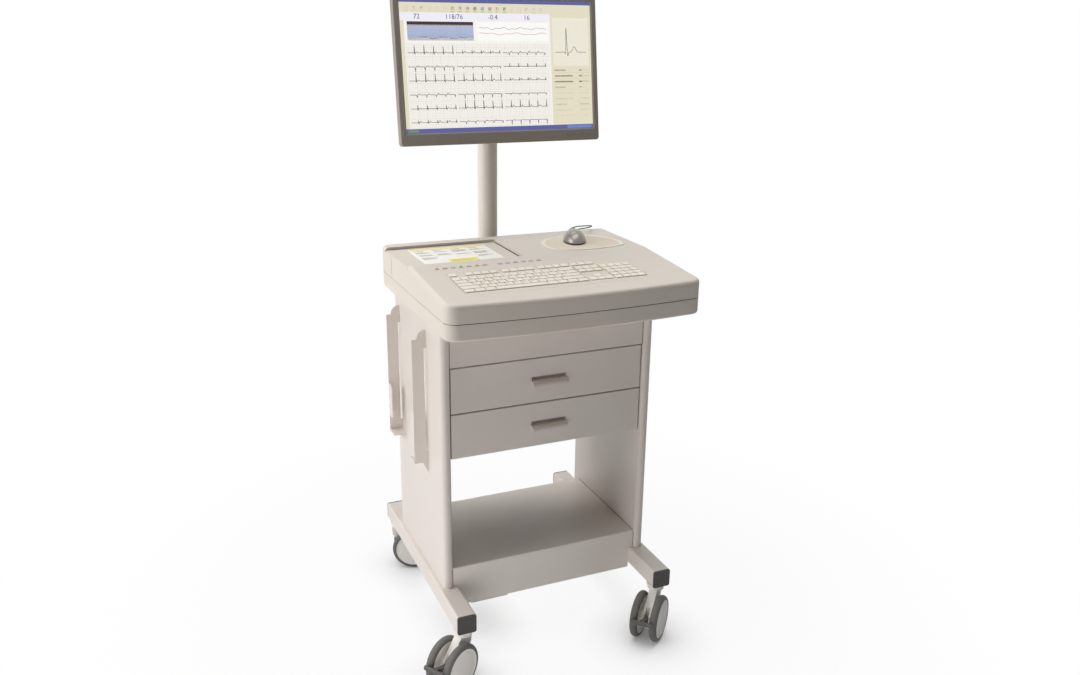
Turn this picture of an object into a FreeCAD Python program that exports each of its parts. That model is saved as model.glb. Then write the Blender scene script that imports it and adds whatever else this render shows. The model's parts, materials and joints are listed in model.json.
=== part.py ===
import FreeCAD, Part
import math
import os

# ECG workstation trolley, millimetres. The origin is on the floor at the middle of the
# wheelbase, +Z is up and the drawers open towards -Y.
V = FreeCAD.Vector
X = V(1, 0, 0)
Y = V(0, 1, 0)
Z = V(0, 0, 1)

# Feet
foot_side = 45.0
foot_wall = 2.5
foot_corner = 5.0
foot_overall = 598.0
foot_track = 506.0
cap_flange = 4.0
cap_plug = 10.0
cap_clearance = 0.2

# Castors
wheel_diameter = 114.0
wheel_width = 22.0
wheel_gap = 24.5
tyre_depth = 9.0
tyre_shoulder = 6.0
dish_depth = 3.0
axle_recess = 4.0
hub_radius = 15.0
hub_proud = 2.0
castor_height = 131.0
castor_trail = 41.0
castor_inset = 27.0
fork_thickness = 20.0
neck_radius = 20.0
collar_radius = 22.5
collar_height = 7.0
stem_radius = 6.0
stem_head = 12.0
stem_head_height = 5.0
stem_depth = 24.0
axle_radius = 5.0
running_fit = 0.05
seat_gap = 0.3
pedal_reach = 67.0
pedal_lift = 16.0
pedal_bar = 52.0
pedal_tongue = 10.0
pedal_height = 11.0
pedal_pivot_x = 17.0
pedal_eye = 7.0
pedal_pin = 3.0
pedal_slot_gap = 0.3
headings = {"front_left": 211.0, "front_right": 222.0, "rear_left": -19.5, "rear_right": 40.0}

# Side panels
panel_thickness = 23.0
panel_x = 254.0
panel_wall = 2.0
panel_front_y = -177.0
panel_depth = 363.0
panel_rear_round = 6.0

# Bottom shelf and the transformer case under it
shelf_top_z = 222.5
shelf_depth = 320.0
shelf_sheet = 2.0
apron_height = 102.0
shelf_flange = 46.0
case_width = 96.0
case_depth = 190.0
case_bottom_z = 113.0
case_left_x = -194.0
case_setback = 7.0

# Drawer cabinet
front_plane_y = -167.5
drawer_base_z = 503.5
drawer_height = 107.5
drawer_gap = 2.5
drawer_side_gap = 2.5
drawer_front_depth = 18.0
drawer_box_depth = 300.0
drawer_box_height = 78.0
drawer_box_lift = 12.0
drawer_sheet = 1.5
runner_depth = 11.0
runner_height = 36.0
runner_wall = 1.5
runner_lift = 22.0
runner_length = 286.0
runner_clearance = 0.4
pull_width = 90.0
pull_slot = 12.0
pull_reach = 16.0
pull_drop = 13.0
pull_sheet = 2.0
fascia_flange = 16.0
back_panel_y = 160.0

# Console
console_width = 598.0
console_rear_y = 173.0
console_front_y = -326.0
console_bow = 15.0
console_base_z = 837.0
console_top_z = 936.0
console_slope = 4.58
crest_y = -64.0
crest_radius = 200.0
parting_z = 875.0
parting_groove = 1.5
console_wall = 3.0
front_corner = 28.0
rear_corner = 20.0
rim_round = 9.0
belly_round = 6.0

# Printer in the console's left half
lid_drop = 6.0
lid_sheet = 3.0
lid_front_y = -56.0
lid_rear_y = 128.0
lid_right_x = -20.0
lid_tongue = 3.0
lid_clearance = 0.3
paper_slot = 6.0
tub_wall = 6.0
ledge_width = 12.0
ledge_thickness = 4.0
wing_rear_y = 78.0
wing_gap = 2.5
platen_radius = 8.0
platen_shaft = 4.0
paper_width = 210.0
paper_length = 140.0
paper_height = 30.0
chassis_sheet = 2.0
cheek_thickness = 3.0
head_thickness = 5.0

# Keyboard foil and function keys, on the sloping front of the console
key_pitch = 19.0
key_row_pitch = 19.0
key_gap = 3.0
key_height = 1.6
foil_left_x = -243.0
foil_rear = 70.0
foil_margin = 7.0
foil_front_margin = 18.0
function_row_gap = 8.0
foil_thickness = 1.2
foil_clearance = 0.2
function_key_length = 13.0
function_key_width = 7.0
function_key_height = 1.4
function_key_distance = 35.0
function_groups = ((-245.0, 18.6, 7), (-96.5, 18.9, 6))

# Mouse pad, mouse and cord
pad_left_x = 74.0
pad_tip_x = 257.0
pad_front_y = -30.0
pad_rear_y = 117.0
pad_front_bow = 21.0
pad_corner = 22.0
pad_tip = 5.0
pad_depth = 1.5
pad_rim = 3.0
pad_rim_height = 1.2
pad_clearance = 0.2
mouse_x = 158.0
mouse_y = 46.0
mouse_heading = -20.4
mouse_length = 104.0
mouse_radius = 27.5
mouse_axis_z = 3.5
mouse_swell_y = -9.0
mouse_base_height = 4.0
mouse_shell = 2.0
mouse_split_y = 6.0
mouse_deck_z = 9.0
mouse_button_gap = 0.5
mouse_wheel_radius = 9.0
mouse_wheel_width = 6.5
mouse_wheel_y = 27.0
mouse_wheel_proud = 2.0
mouse_pin_radius = 1.5
mouse_post = 2.0
mouse_post_gap = 0.6
cord_diameter = 3.0
cord_route = (
    (176.2, 94.9, 940.0), (182.6, 112.0, 943.0), (203.0, 121.0, 948.5), (226.0, 118.0, 950.0),
    (247.0, 130.0, 950.0), (261.0, 156.0, 947.0), (244.0, 174.0, 943.5), (226.0, 190.0, 940.0),
    (214.0, 208.0, 925.0), (204.0, 214.0, 895.0), (198.0, 216.0, 868.0), (198.0, 208.0, 856.0),
    (198.0, 195.0, 856.0),
)
plug_x = 198.0
plug_width = 15.0
plug_height = 8.0
plug_length = 22.0
tongue_width = 12.0
tongue_height = 4.5
tongue_length = 8.0

# Rear connector plate
connector_left_x = 92.0
connector_width = 180.0
connector_height = 26.0
connector_base_z = 843.0

# Pole and its bracket
pole_radius = 25.0
pole_wall = 3.0
pole_y = 235.5
pole_bottom_z = 573.0
bracket_plate = 4.0
bracket_width = 150.0
bracket_base_z = 593.0
bracket_height = 220.0
clamp_wall = 7.0
clamp_height = 40.0
clamp_clearance = 0.2

# Monitor, in its own frame: origin at the middle of its front bottom edge
monitor_width = 510.0
monitor_height = 345.0
monitor_front_y = 117.5
monitor_bottom_z = 1174.0
monitor_tilt = 7.6
frame_depth = 22.0
frame_face = 3.0
frame_wall = 2.5
frame_corner = 8.0
bezel_bottom = 29.0
screen_width = 480.0
screen_height = 300.0
cover_depth = 28.0
cover_inset = 42.0
cover_wall = 2.5
display_overlap = 8.0
display_thickness = 12.0
vent_count = 16
vent_pitch = 16.0
vent_width = 5.0
vent_height = 34.0
button_count = 4
button_pitch = 18.0
button_right_x = 226.0
button_z = 16.0
button_width = 9.0
button_height = 4.0
button_depth = 6.0
button_proud = 1.2
button_clearance = 0.15
vesa_plate = 120.0
vesa_thickness = 3.0
knuckle_radius = 11.0
knuckle_offset = 14.0
knuckle_half = 22.0
pin_radius = 4.0
ear_thickness = 6.0
ear_radius = 13.0
head_radius = 29.0
head_height = 18.0
head_drop = 45.0
spigot_length = 60.0

# Side holder on the left panel
holder_front_y = -68.5
holder_rear_y = 148.5
holder_sheet = 2.0
holder_gap = 5.0
holder_reach = 28.0
holder_low_z = 460.0
holder_high_z = 766.0
holder_ear = 22.0
holder_hook = 27.0
holder_floor = 40.0
holder_lip = 28.0
holder_lip_low_z = 502.0
holder_lip_high_z = 589.0

# Values that follow from the driving dimensions
foot_bottom = castor_height
foot_top = foot_bottom + foot_side
foot_x = foot_track / 2
foot_half = foot_overall / 2
castor_y = foot_half - castor_inset
wheel_radius = wheel_diameter / 2
disc_radius = wheel_radius - tyre_depth
wheel_inner = wheel_gap / 2
wheel_outer = wheel_inner + wheel_width
cabinet_half = panel_x - panel_thickness / 2
panel_face_x = panel_x + panel_thickness / 2
panel_rear_y = panel_front_y + panel_depth
fascia_base_z = drawer_base_z + 2 * (drawer_height + drawer_gap)
drawer_bases = {"lower": drawer_base_z, "upper": drawer_base_z + drawer_height + drawer_gap}
console_half = console_width / 2
lid_top_z = console_top_z - lid_drop
slot_rear_y = lid_rear_y + paper_slot
platen_y = lid_rear_y + paper_slot * 0.6 - platen_radius
platen_z = lid_top_z - lid_sheet - ledge_thickness - lid_clearance - platen_radius - 3
pad_top_z = console_top_z + pad_rim_height - 0.7
screen_low = bezel_bottom
monitor_depth = frame_depth + cover_depth
tilt_y = monitor_depth + vesa_thickness + knuckle_offset
tilt_z = monitor_height / 2

slope_place = FreeCAD.Placement(V(0, crest_y, console_top_z), FreeCAD.Rotation(X, console_slope))
monitor_place = FreeCAD.Placement(
    V(0, monitor_front_y, monitor_bottom_z), FreeCAD.Rotation(X, -monitor_tilt)
)
mouse_place = FreeCAD.Placement(V(mouse_x, mouse_y, pad_top_z), FreeCAD.Rotation(Z, mouse_heading))
tilt_axis = monitor_place.multVec(V(0, tilt_y, tilt_z))
pole_top_z = tilt_axis.z - head_drop


def block(x, y, z):
    """Box between low and high values on each axis."""
    return Part.makeBox(x[1] - x[0], y[1] - y[0], z[1] - z[0], V(x[0], y[0], z[0]))


def drum(radius, start, direction, length):
    return Part.makeCylinder(radius, length, start, direction)


def prism(points, path):
    """Solid made by carrying a closed polygon along a straight path."""
    return Part.Face(Part.makePolygon(list(points) + [points[0]])).extrude(path)


def turned(profile, start, direction):
    """Solid of revolution of a closed polygon."""
    return Part.Face(Part.makePolygon(list(profile) + [profile[0]])).revolve(start, direction, 360)


def joined(shapes):
    return shapes[0].multiFuse(shapes[1:]).removeSplitter()


def without(shape, cutters):
    return shape.cut(Part.makeCompound(cutters))


def placed(shape, placement):
    moved = shape.copy()
    moved.Placement = placement.multiply(moved.Placement)
    return moved


def edges_along(shape, axis):
    """Straight edges that run along an axis."""
    chosen = []
    for edge in shape.Edges:
        if isinstance(edge.Curve, (Part.Line, Part.LineSegment)):
            if edge.tangentAt(edge.FirstParameter).cross(axis).Length < 1e-6:
                chosen.append(edge)
    return chosen


def rounded(shape, axis, radius):
    return shape.makeFillet(radius, edges_along(shape, axis))


def face_lift(face):
    """How far a face's normal points up, at the middle of the face."""
    u0, u1, v0, v1 = face.ParameterRange
    return face.normalAt((u0 + u1) / 2, (v0 + v1) / 2).z


def rim_edges(body, sign):
    """Edges between the upright walls and the top (sign 1) or the bottom (sign -1)."""
    chosen = []
    for edge in body.Edges:
        lifts = [face_lift(face) for face in body.ancestorsOfType(edge, Part.Face)]
        if min(abs(lift) for lift in lifts) < 0.1 and max(sign * lift for lift in lifts) > 0.9:
            chosen.append(edge)
    return chosen


def foot_tube(side):
    x = side * foot_x
    half = foot_half - cap_flange
    reach = foot_side / 2
    outer = block((x - reach, x + reach), (-half, half), (foot_bottom, foot_top))
    outer = rounded(outer, Y, foot_corner)
    low = foot_bottom + foot_wall
    inner = reach - foot_wall
    bore = block((x - inner, x + inner), (-half - 1, half + 1), (low, foot_top - foot_wall))
    holes = []
    for y in (-castor_y, castor_y):
        holes.append(drum(stem_radius, V(x, y, foot_bottom - 1), Z, foot_wall + 2))
    return without(outer.cut(bore), holes)


def end_cap(x, end):
    reach = foot_side / 2
    flange = block((x - reach, x + reach), (-cap_flange, 0), (foot_bottom, foot_top))
    flange = rounded(flange, Y, foot_corner)
    inner = reach - foot_wall - cap_clearance
    mid = (foot_bottom + foot_top) / 2
    plug = block((x - inner, x + inner), (0, cap_plug), (mid - inner, mid + inner))
    cap = joined([flange, plug])
    tube_end = foot_half - cap_flange
    if end > 0:
        return placed(cap, FreeCAD.Placement(V(2 * x, tube_end, 0), FreeCAD.Rotation(Z, 180)))
    return placed(cap, FreeCAD.Placement(V(0, -tube_end, 0), FreeCAD.Rotation()))


def castor_stem(x, y):
    """Stem bolt: its hexagon head lies on the tube's inner floor and its pin turns in the fork."""
    floor = foot_bottom + foot_wall
    pin = drum(stem_radius, V(x, y, foot_bottom - stem_depth), Z, stem_depth + foot_wall + 1)
    corners = []
    for step in range(6):
        angle = math.radians(60 * step)
        corners.append(V(x + stem_head * math.cos(angle), y + stem_head * math.sin(angle), floor))
    return joined([pin, prism(corners, Z * stem_head_height)])


def castor_fork(braked):
    """Fork of a twin-wheel castor: neck, collar and one middle arm with the axle pressed in."""
    neck_low = wheel_diameter + 2
    top = foot_bottom - seat_gap
    neck = drum(neck_radius, V(0, 0, neck_low), Z, top - neck_low)
    collar = drum(collar_radius, V(0, 0, top - collar_height), Z, collar_height)
    collar = collar.makeChamfer(2, rim_edges(collar, -1))
    half = fork_thickness / 2
    tail = castor_trail + pedal_pivot_x + pedal_eye
    outline = (
        V(-neck_radius + 2, -half, neck_low + 1), V(neck_radius - 1, -half, neck_low + 1),
        V(tail, -half, wheel_radius + 12), V(tail, -half, wheel_radius - 11),
        V(castor_trail - 14, -half, wheel_radius - 16), V(-neck_radius + 4, -half, wheel_diameter - 22),
    )
    arm = prism(outline, Y * fork_thickness)
    axle_half = wheel_outer - axle_recess
    axle = drum(axle_radius, V(castor_trail, -axle_half, wheel_radius), Y, 2 * axle_half)
    fork = joined([neck, collar, arm, axle])
    stem_low = foot_bottom - stem_depth - seat_gap
    slot_half = pedal_tongue / 2 + pedal_slot_gap
    slot_start = castor_trail + pedal_pivot_x - pedal_eye - 1.5
    fork = fork.cut(drum(stem_radius + running_fit, V(0, 0, stem_low), Z, foot_bottom - stem_low))
    if not braked:
        return fork
    slot = block((slot_start, tail + 1), (-slot_half, slot_half), (wheel_radius - 40, wheel_radius + 40))
    hole = drum(pedal_pin + running_fit, pedal_pivot() - Y * fork_thickness, Y, 2 * fork_thickness)
    return without(fork, [slot, hole])


def pedal_pivot():
    return V(castor_trail + pedal_pivot_x, 0, wheel_radius)


def castor_pedal():
    """Brake pedal: a rising tongue on a pin in the arm's slot, with a bar across both treads."""
    pivot = pedal_pivot()
    half = pedal_tongue / 2
    eye = drum(pedal_eye, pivot - Y * half, Y, pedal_tongue)
    pin = drum(pedal_pin, pivot - Y * (fork_thickness / 2), Y, fork_thickness)
    end = castor_trail + pedal_reach
    rise = pedal_height / 2
    bar_z = pivot.z + pedal_lift
    tongue = prism(
        (
            V(pivot.x, -half, pivot.z + pedal_eye), V(end - 4, -half, bar_z + rise),
            V(end - 4, -half, bar_z - rise), V(pivot.x, -half, pivot.z - pedal_eye),
        ),
        Y * pedal_tongue,
    )
    bar = block((end - 8, end), (-pedal_bar / 2, pedal_bar / 2), (bar_z - rise, bar_z + rise))
    bar = rounded(bar, Y, 3)
    return joined([eye, pin, tongue, bar])


def castor_wheel(side):
    """One wheel in a single profile: hub with a blind bore, dished disc and moulded tyre."""

    def point(radius, across):
        return V(castor_trail + radius, side * across, wheel_radius)

    inner = wheel_inner
    outer = wheel_outer
    bore = axle_radius + running_fit
    axle_end = outer - axle_recess + seat_gap
    tread = wheel_radius
    crown = tread - tyre_shoulder
    profile = [
        point(bore, inner - hub_proud), point(hub_radius, inner - hub_proud), point(crown, inner),
        point(tread, inner + tyre_shoulder), point(tread, outer - tyre_shoulder), point(crown, outer),
        point(disc_radius, outer), point(disc_radius - dish_depth, outer - dish_depth),
        point(0, outer - dish_depth / 3), point(0, axle_end), point(bore, axle_end),
    ]
    return turned(profile, point(0, 0), Y)


def side_panel(side):
    """Hollow upright with a fully rounded front edge, standing on the foot."""

    def outline(inset):
        half = panel_thickness / 2 - inset
        front = panel_front_y + panel_thickness / 2
        rear = panel_rear_y - inset
        x = side * panel_x
        nose = Part.Arc(V(x + half, front, 0), V(x, front - half, 0), V(x - half, front, 0)).toShape()
        left = Part.makeLine(V(x - half, front, 0), V(x - half, rear, 0))
        back = Part.makeLine(V(x - half, rear, 0), V(x + half, rear, 0))
        right = Part.makeLine(V(x + half, rear, 0), V(x + half, front, 0))
        solid = Part.Face(Part.Wire([nose, left, back, right]))
        solid.translate(Z * foot_top)
        solid = solid.extrude(Z * (console_base_z - foot_top))
        rear_edges = [edge for edge in edges_along(solid, Z) if edge.CenterOfMass.y > front + 1]
        return solid.makeFillet(panel_rear_round - inset, rear_edges)

    return outline(0).cut(outline(panel_wall))


def bottom_shelf():
    """Folded tray: plate, deep front apron, side flanges on the panels and a rear flange."""
    front = front_plane_y
    rear = front + shelf_depth
    low = shelf_top_z - shelf_sheet
    plate = block((-cabinet_half, cabinet_half), (front, rear), (low, shelf_top_z))
    skirt_half = foot_x - foot_side / 2 - seat_gap
    apron = block(
        (-cabinet_half, cabinet_half), (front, front + shelf_sheet), (foot_top + seat_gap, shelf_top_z)
    )
    skirt = block(
        (-skirt_half, skirt_half), (front, front + shelf_sheet), (shelf_top_z - apron_height, shelf_top_z)
    )
    flange_z = (shelf_top_z - shelf_flange, shelf_top_z)
    back = block((-cabinet_half, cabinet_half), (rear - shelf_sheet, rear), flange_z)
    flanges = []
    for side in (-1, 1):
        x = sorted((side * cabinet_half, side * (cabinet_half - shelf_sheet)))
        flanges.append(block(x, (front, rear), flange_z))
    tray = joined([plate, apron, skirt, back] + flanges)
    bend = [
        edge for edge in edges_along(tray, X)
        if abs(edge.CenterOfMass.y - front) < 0.01 and abs(edge.CenterOfMass.z - shelf_top_z) < 0.01
    ]
    return tray.makeFillet(shelf_sheet * 1.5, bend)


def transformer_case():
    """Closed steel case with cooling slots, hung under the shelf behind the apron."""
    front = front_plane_y + case_setback
    top = shelf_top_z - shelf_sheet
    case = block((case_left_x, case_left_x + case_width), (front, front + case_depth), (case_bottom_z, top))
    case = rounded(case, Z, 4)
    slots = []
    slot_x = (case_left_x - 1, case_left_x + 2)
    for step in range(7):
        y = front + case_depth / 2 + (step - 3) * 16
        slots.append(block(slot_x, (y - 3, y + 3), (case_bottom_z + 20, top - 25)))
    return without(case, slots)


def runner_zone(base):
    low = base + runner_lift
    return low, low + runner_height


def drawer_runner(side, base):
    """Fixed channel on a side panel, open towards the drawer."""
    low, high = runner_zone(base)
    start = front_plane_y + drawer_front_depth + 2
    wall_x = side * cabinet_half
    lips_x = sorted((wall_x, wall_x - side * runner_depth))
    web_x = sorted((wall_x, wall_x - side * runner_wall))
    span = (start, start + runner_length)
    return joined(
        [
            block(web_x, span, (low, high)),
            block(lips_x, span, (low, low + runner_wall)),
            block(lips_x, span, (high - runner_wall, high)),
        ]
    )


def drawer_box(base):
    """Open-topped sheet box with a rail on each side that runs in the channels."""
    half = cabinet_half - runner_depth - runner_clearance - 1
    front = front_plane_y + drawer_sheet
    low = base + drawer_box_lift
    outer = block((-half, half), (front, front + drawer_box_depth), (low, low + drawer_box_height))
    wall = drawer_sheet
    hollow = block(
        (-half + wall, half - wall),
        (front + wall, front + drawer_box_depth - wall),
        (low + wall, low + drawer_box_height + 1),
    )
    rail_low, rail_high = runner_zone(base)
    keep = runner_wall + runner_clearance
    rails = []
    for side in (-1, 1):
        x = sorted((side * half, side * (cabinet_half - keep)))
        span = (front + drawer_front_depth + 4, front + drawer_box_depth - 4)
        rails.append(block(x, span, (rail_low + keep, rail_high - keep)))
    slot_low, slot_high = pull_slot_zone(base)
    slot = block((-pull_width / 2, pull_width / 2), (front - 1, front + wall + 1), (slot_low, slot_high))
    return joined([without(outer, [hollow, slot])] + rails)


def pull_slot_zone(base):
    low = base + drawer_height / 2 - 1
    return low, low + pull_slot


def drawer_front(base):
    """Folded front pan with a slot, and the lip pressed out below the slot as the pull."""
    half = cabinet_half - drawer_side_gap
    y = front_plane_y
    pan = block((-half, half), (y, y + drawer_front_depth), (base, base + drawer_height))
    face_edges = [edge for edge in pan.Edges if abs(edge.CenterOfMass.y - y) < 0.01]
    pan = pan.makeFillet(drawer_sheet, face_edges)
    wall = drawer_sheet
    hollow = block(
        (-half + wall, half - wall),
        (y + wall, y + drawer_front_depth + 1),
        (base + wall, base + drawer_height - wall),
    )
    low, high = pull_slot_zone(base)
    slot = block((-pull_width / 2, pull_width / 2), (y - 1, y + wall + 1), (low, high))
    lip = lip_solid(y, low)
    return joined([without(pan, [hollow, slot]), lip])


def lip_solid(y, z):
    """Pull lip: out from the slot's lower edge, then curving down to a free edge."""
    turn = pull_reach - 6
    diagonal = turn * math.sqrt(0.5)

    def strip(offset):
        radius = turn - offset
        out = V(0, y - pull_reach + turn, z - offset)
        middle = V(0, y - pull_reach + turn - diagonal * radius / turn, z - turn + diagonal * radius / turn)
        down = V(0, y - pull_reach + offset, z - turn)
        tip = V(0, y - pull_reach + offset, z - pull_drop)
        return V(0, y + drawer_sheet, z - offset), out, middle, down, tip

    root_a, out_a, middle_a, down_a, tip_a = strip(0)
    root_b, out_b, middle_b, down_b, tip_b = strip(pull_sheet)
    edges = [
        Part.makeLine(root_a, out_a),
        Part.Arc(out_a, middle_a, down_a).toShape(),
        Part.makeLine(down_a, tip_a),
        Part.makeLine(tip_a, tip_b),
        Part.makeLine(tip_b, down_b),
        Part.Arc(down_b, middle_b, out_b).toShape(),
        Part.makeLine(out_b, root_b),
        Part.makeLine(root_b, root_a),
    ]
    lip = Part.Face(Part.Wire(edges))
    lip.translate(X * (-pull_width / 2))
    return lip.extrude(X * pull_width)


def fascia_panel():
    y = front_plane_y
    plate = block((-cabinet_half, cabinet_half), (y, y + shelf_sheet), (fascia_base_z, console_base_z))
    parts = [plate]
    for side in (-1, 1):
        x = sorted((side * cabinet_half, side * (cabinet_half - shelf_sheet)))
        parts.append(block(x, (y, y + fascia_flange), (fascia_base_z, console_base_z)))
    floor = (fascia_base_z, fascia_base_z + shelf_sheet)
    parts.append(block((-cabinet_half, cabinet_half), (y, y + fascia_flange), floor))
    return joined(parts)


def back_panel():
    y = back_panel_y
    parts = [block((-cabinet_half, cabinet_half), (y, y + shelf_sheet), (drawer_base_z, console_base_z))]
    for side in (-1, 1):
        x = sorted((side * cabinet_half, side * (cabinet_half - shelf_sheet)))
        parts.append(block(x, (y - fascia_flange, y + shelf_sheet), (drawer_base_z, console_base_z)))
    slots = []
    slot_z = (drawer_base_z + 30, drawer_base_z + 35)
    for step in range(9):
        x = (step - 4) * 30
        slots.append(block((x - 10, x + 10), (y - 1, y + shelf_sheet + 1), slot_z))
    return without(joined(parts), slots)


def console_plan(inset):
    half = console_half - inset
    front = console_front_y + inset
    rear = console_rear_y - inset
    left = V(-half, front, 0)
    right = V(half, front, 0)
    back_left = V(-half, rear, 0)
    back_right = V(half, rear, 0)
    bow = Part.Arc(left, V(0, front - console_bow, 0), right).toShape()
    corners = (right, back_right, back_left, left)
    sides = [Part.makeLine(start, end) for start, end in zip(corners, corners[1:])]
    return Part.Face(Part.Wire([bow] + sides))


def under_top(inset):
    """Everything below the console's top: flat at the rear, one crest arc, sloping at the front."""
    z = console_top_z - inset
    angle = math.radians(console_slope)
    tangent = crest_radius * math.tan(angle / 2)
    far_rear = console_rear_y + 50
    far_front = console_front_y - console_bow - 50
    low = console_base_z - 50
    x = -console_half - 50
    start = V(x, crest_y + tangent, z)
    middle = V(x, start.y - crest_radius * math.sin(angle / 2), z - crest_radius * (1 - math.cos(angle / 2)))
    end = V(x, crest_y - tangent * math.cos(angle), z - tangent * math.sin(angle))
    front = V(x, far_front, z - (crest_y - far_front) * math.tan(angle))
    corners = [front, V(x, far_front, low), V(x, far_rear, low), V(x, far_rear, z), start]
    edges = [Part.Arc(start, middle, end).toShape(), Part.makeLine(end, front)]
    for first, second in zip(corners, corners[1:]):
        edges.append(Part.makeLine(first, second))
    return Part.Face(Part.Wire(Part.sortEdges(edges)[0])).extrude(X * (2 * console_half + 100))


def console_block(inset):
    """Closed console form with round rims, or its plainer hollow when inset by the wall."""
    body = console_plan(inset)
    body.translate(Z * (console_base_z + inset))
    body = body.extrude(Z * (console_top_z - console_base_z))
    front = [edge for edge in edges_along(body, Z) if edge.CenterOfMass.y < 0]
    body = body.makeFillet(front_corner - inset, front)
    rear = [edge for edge in edges_along(body, Z) if edge.CenterOfMass.y > console_rear_y - inset - 0.01]
    body = body.makeFillet(rear_corner - inset, rear)
    body = body.common(under_top(inset))
    if inset > 0:
        body = body.makeChamfer(rim_round - inset, rim_edges(body, 1))
        return body.makeChamfer(belly_round - inset, rim_edges(body, -1))
    body = body.makeFillet(rim_round, rim_edges(body, 1))
    return body.makeFillet(belly_round, rim_edges(body, -1))


def console_halves():
    """Outer form, and the shell cut at the parting plane into a lower and an upper half."""
    outer = console_block(0)
    shell = outer.cut(console_block(console_wall))
    reach = console_half + 50
    lower = shell.common(block((-reach, reach), (-reach, reach), (console_base_z - 1, parting_z)))
    upper = shell.common(block((-reach, reach), (-reach, reach), (parting_z, console_top_z + 1)))
    return outer, lower, upper


def console_lower_shell(lower):
    band = console_plan(-1).extrude(Z * parting_groove)
    band = band.cut(console_plan(parting_groove).extrude(Z * parting_groove))
    band.translate(Z * (parting_z - parting_groove))
    window = block(
        (connector_left_x, connector_left_x + connector_width),
        (console_rear_y - console_wall - 1, console_rear_y + 1),
        (connector_base_z, connector_base_z + connector_height),
    )
    vents = []
    vent_z = (console_base_z - 1, console_base_z + console_wall + 1)
    for step in range(10):
        x = 20 + step * 22
        vents.append(block((x - 3, x + 3), (-120, -60), vent_z))
    return without(lower, [band, window] + vents)


def console_upper_shell(upper, outer):
    """Top cover with the printer recess, the lid's rails and the seats of the foil and the pad."""
    lid_low = lid_top_z - lid_sheet
    ledge_top = lid_low - lid_clearance
    tub = block(
        (-console_half, lid_right_x + tub_wall),
        (lid_front_y - tub_wall, slot_rear_y + tub_wall),
        (ledge_top - ledge_thickness, console_top_z),
    )
    shell = joined([upper, tub.common(outer)])
    far_left = -console_half - 5
    opening_front = lid_front_y + ledge_width
    opening_rear = lid_rear_y - ledge_width
    tub_low = ledge_top - ledge_thickness - 1
    wing_rear = wing_rear_y + wing_gap
    slope_floor = -foil_thickness
    cutters = [
        block((far_left, lid_right_x), (lid_front_y, slot_rear_y), (ledge_top, console_top_z + 5)),
        block(
            (far_left, lid_right_x),
            (lid_front_y - lid_tongue - lid_clearance, lid_front_y),
            (ledge_top, lid_top_z + lid_clearance),
        ),
        block(
            (-console_half + console_wall + 8, lid_right_x - ledge_width),
            (opening_front, opening_rear),
            (tub_low, console_top_z),
        ),
        block(
            (-console_half + console_wall + 8, lid_right_x - ledge_width),
            (lid_rear_y, slot_rear_y),
            (tub_low, console_top_z),
        ),
        block(
            (far_left, -console_half + console_wall + lid_clearance),
            (lid_front_y - lid_clearance, wing_rear),
            (parting_z - 1, console_top_z),
        ),
        placed(foil_zone(foil_clearance, slope_floor, 5), slope_place),
        pad_solid(pad_clearance, console_top_z - pad_depth, 10),
    ]
    return without(shell, cutters)


def printer_lid(outer, upper):
    """Sliding lid: plate with a front tongue, and a grip wing flush with the console's left face."""
    low = lid_top_z - lid_sheet
    plate = block(
        (-console_half, lid_right_x - lid_clearance),
        (lid_front_y + lid_clearance, lid_rear_y),
        (low, lid_top_z),
    )
    tongue = block(
        (-console_half + 12, lid_right_x - lid_clearance),
        (lid_front_y - lid_tongue, lid_front_y + 1),
        (low, lid_top_z),
    )
    wing = upper.common(
        block(
            (-console_half - 5, -console_half + 3 * console_wall),
            (lid_front_y + lid_clearance, wing_rear_y),
            (parting_z + lid_clearance, lid_top_z),
        )
    )
    return joined([plate.common(outer), tongue, wing])


def printer_chassis():
    """Paper tray with cheeks for the platen, the thermal head bar and the drive motor."""
    floor = console_base_z + console_wall
    left = -console_half + console_wall + 12
    right = lid_right_x - ledge_width - 4
    front = lid_front_y + ledge_width
    rear = slot_rear_y + 12
    top = platen_z - platen_radius - 2
    wall = chassis_sheet
    tray = block((left, right), (front, rear), (floor, top))
    inside = (left + wall, right - wall)
    roller_front = platen_y - platen_radius
    hollow = block(inside, (front + wall, roller_front - 6), (floor + wall, top + 1))
    well = block(inside, (roller_front - 8, rear - wall), (floor + 30, top + 1))
    pieces = [without(tray, [hollow, well])]
    for x in (left, right - cheek_thickness):
        pieces.append(block((x, x + cheek_thickness), (platen_y - 12, rear), (top - 1, platen_z + 9)))
    head_front = platen_y + platen_radius + 0.4
    pieces.append(block((left, right), (head_front, head_front + head_thickness), (top - 20, platen_z + 6)))
    pieces.append(drum(13, V(right - wall - 22, front + 30, floor + wall + 13), X, 22.5))
    chassis = joined(pieces)
    bore = drum(platen_shaft + running_fit, V(left - 1, platen_y, platen_z), X, right - left + 2)
    return chassis.cut(bore)


def platen_roller():
    """Rubber-coated roller with its shaft ends in the cheeks."""
    left = -console_half + console_wall + 12
    right = lid_right_x - ledge_width - 4
    gap = cheek_thickness + 2
    roller = drum(platen_radius, V(left + gap, platen_y, platen_z), X, right - left - 2 * gap)
    shaft = drum(platen_shaft, V(left, platen_y, platen_z), X, right - left)
    return joined([roller, shaft])


def paper_pack():
    """Fan-fold paper in the tray: a stack with shallow fold lines on its ends."""
    floor = console_base_z + console_wall + chassis_sheet
    left = -console_half + console_wall + 12 + chassis_sheet + 2
    front = lid_front_y + ledge_width + chassis_sheet + 2
    pack = block((left, left + paper_width), (front, front + paper_length), (floor, floor + paper_height))
    return pack


def foil_size():
    depth = 6 * key_row_pitch + function_row_gap + foil_margin + foil_front_margin
    return 22.5 * key_pitch + 2 * foil_margin, depth


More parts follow.
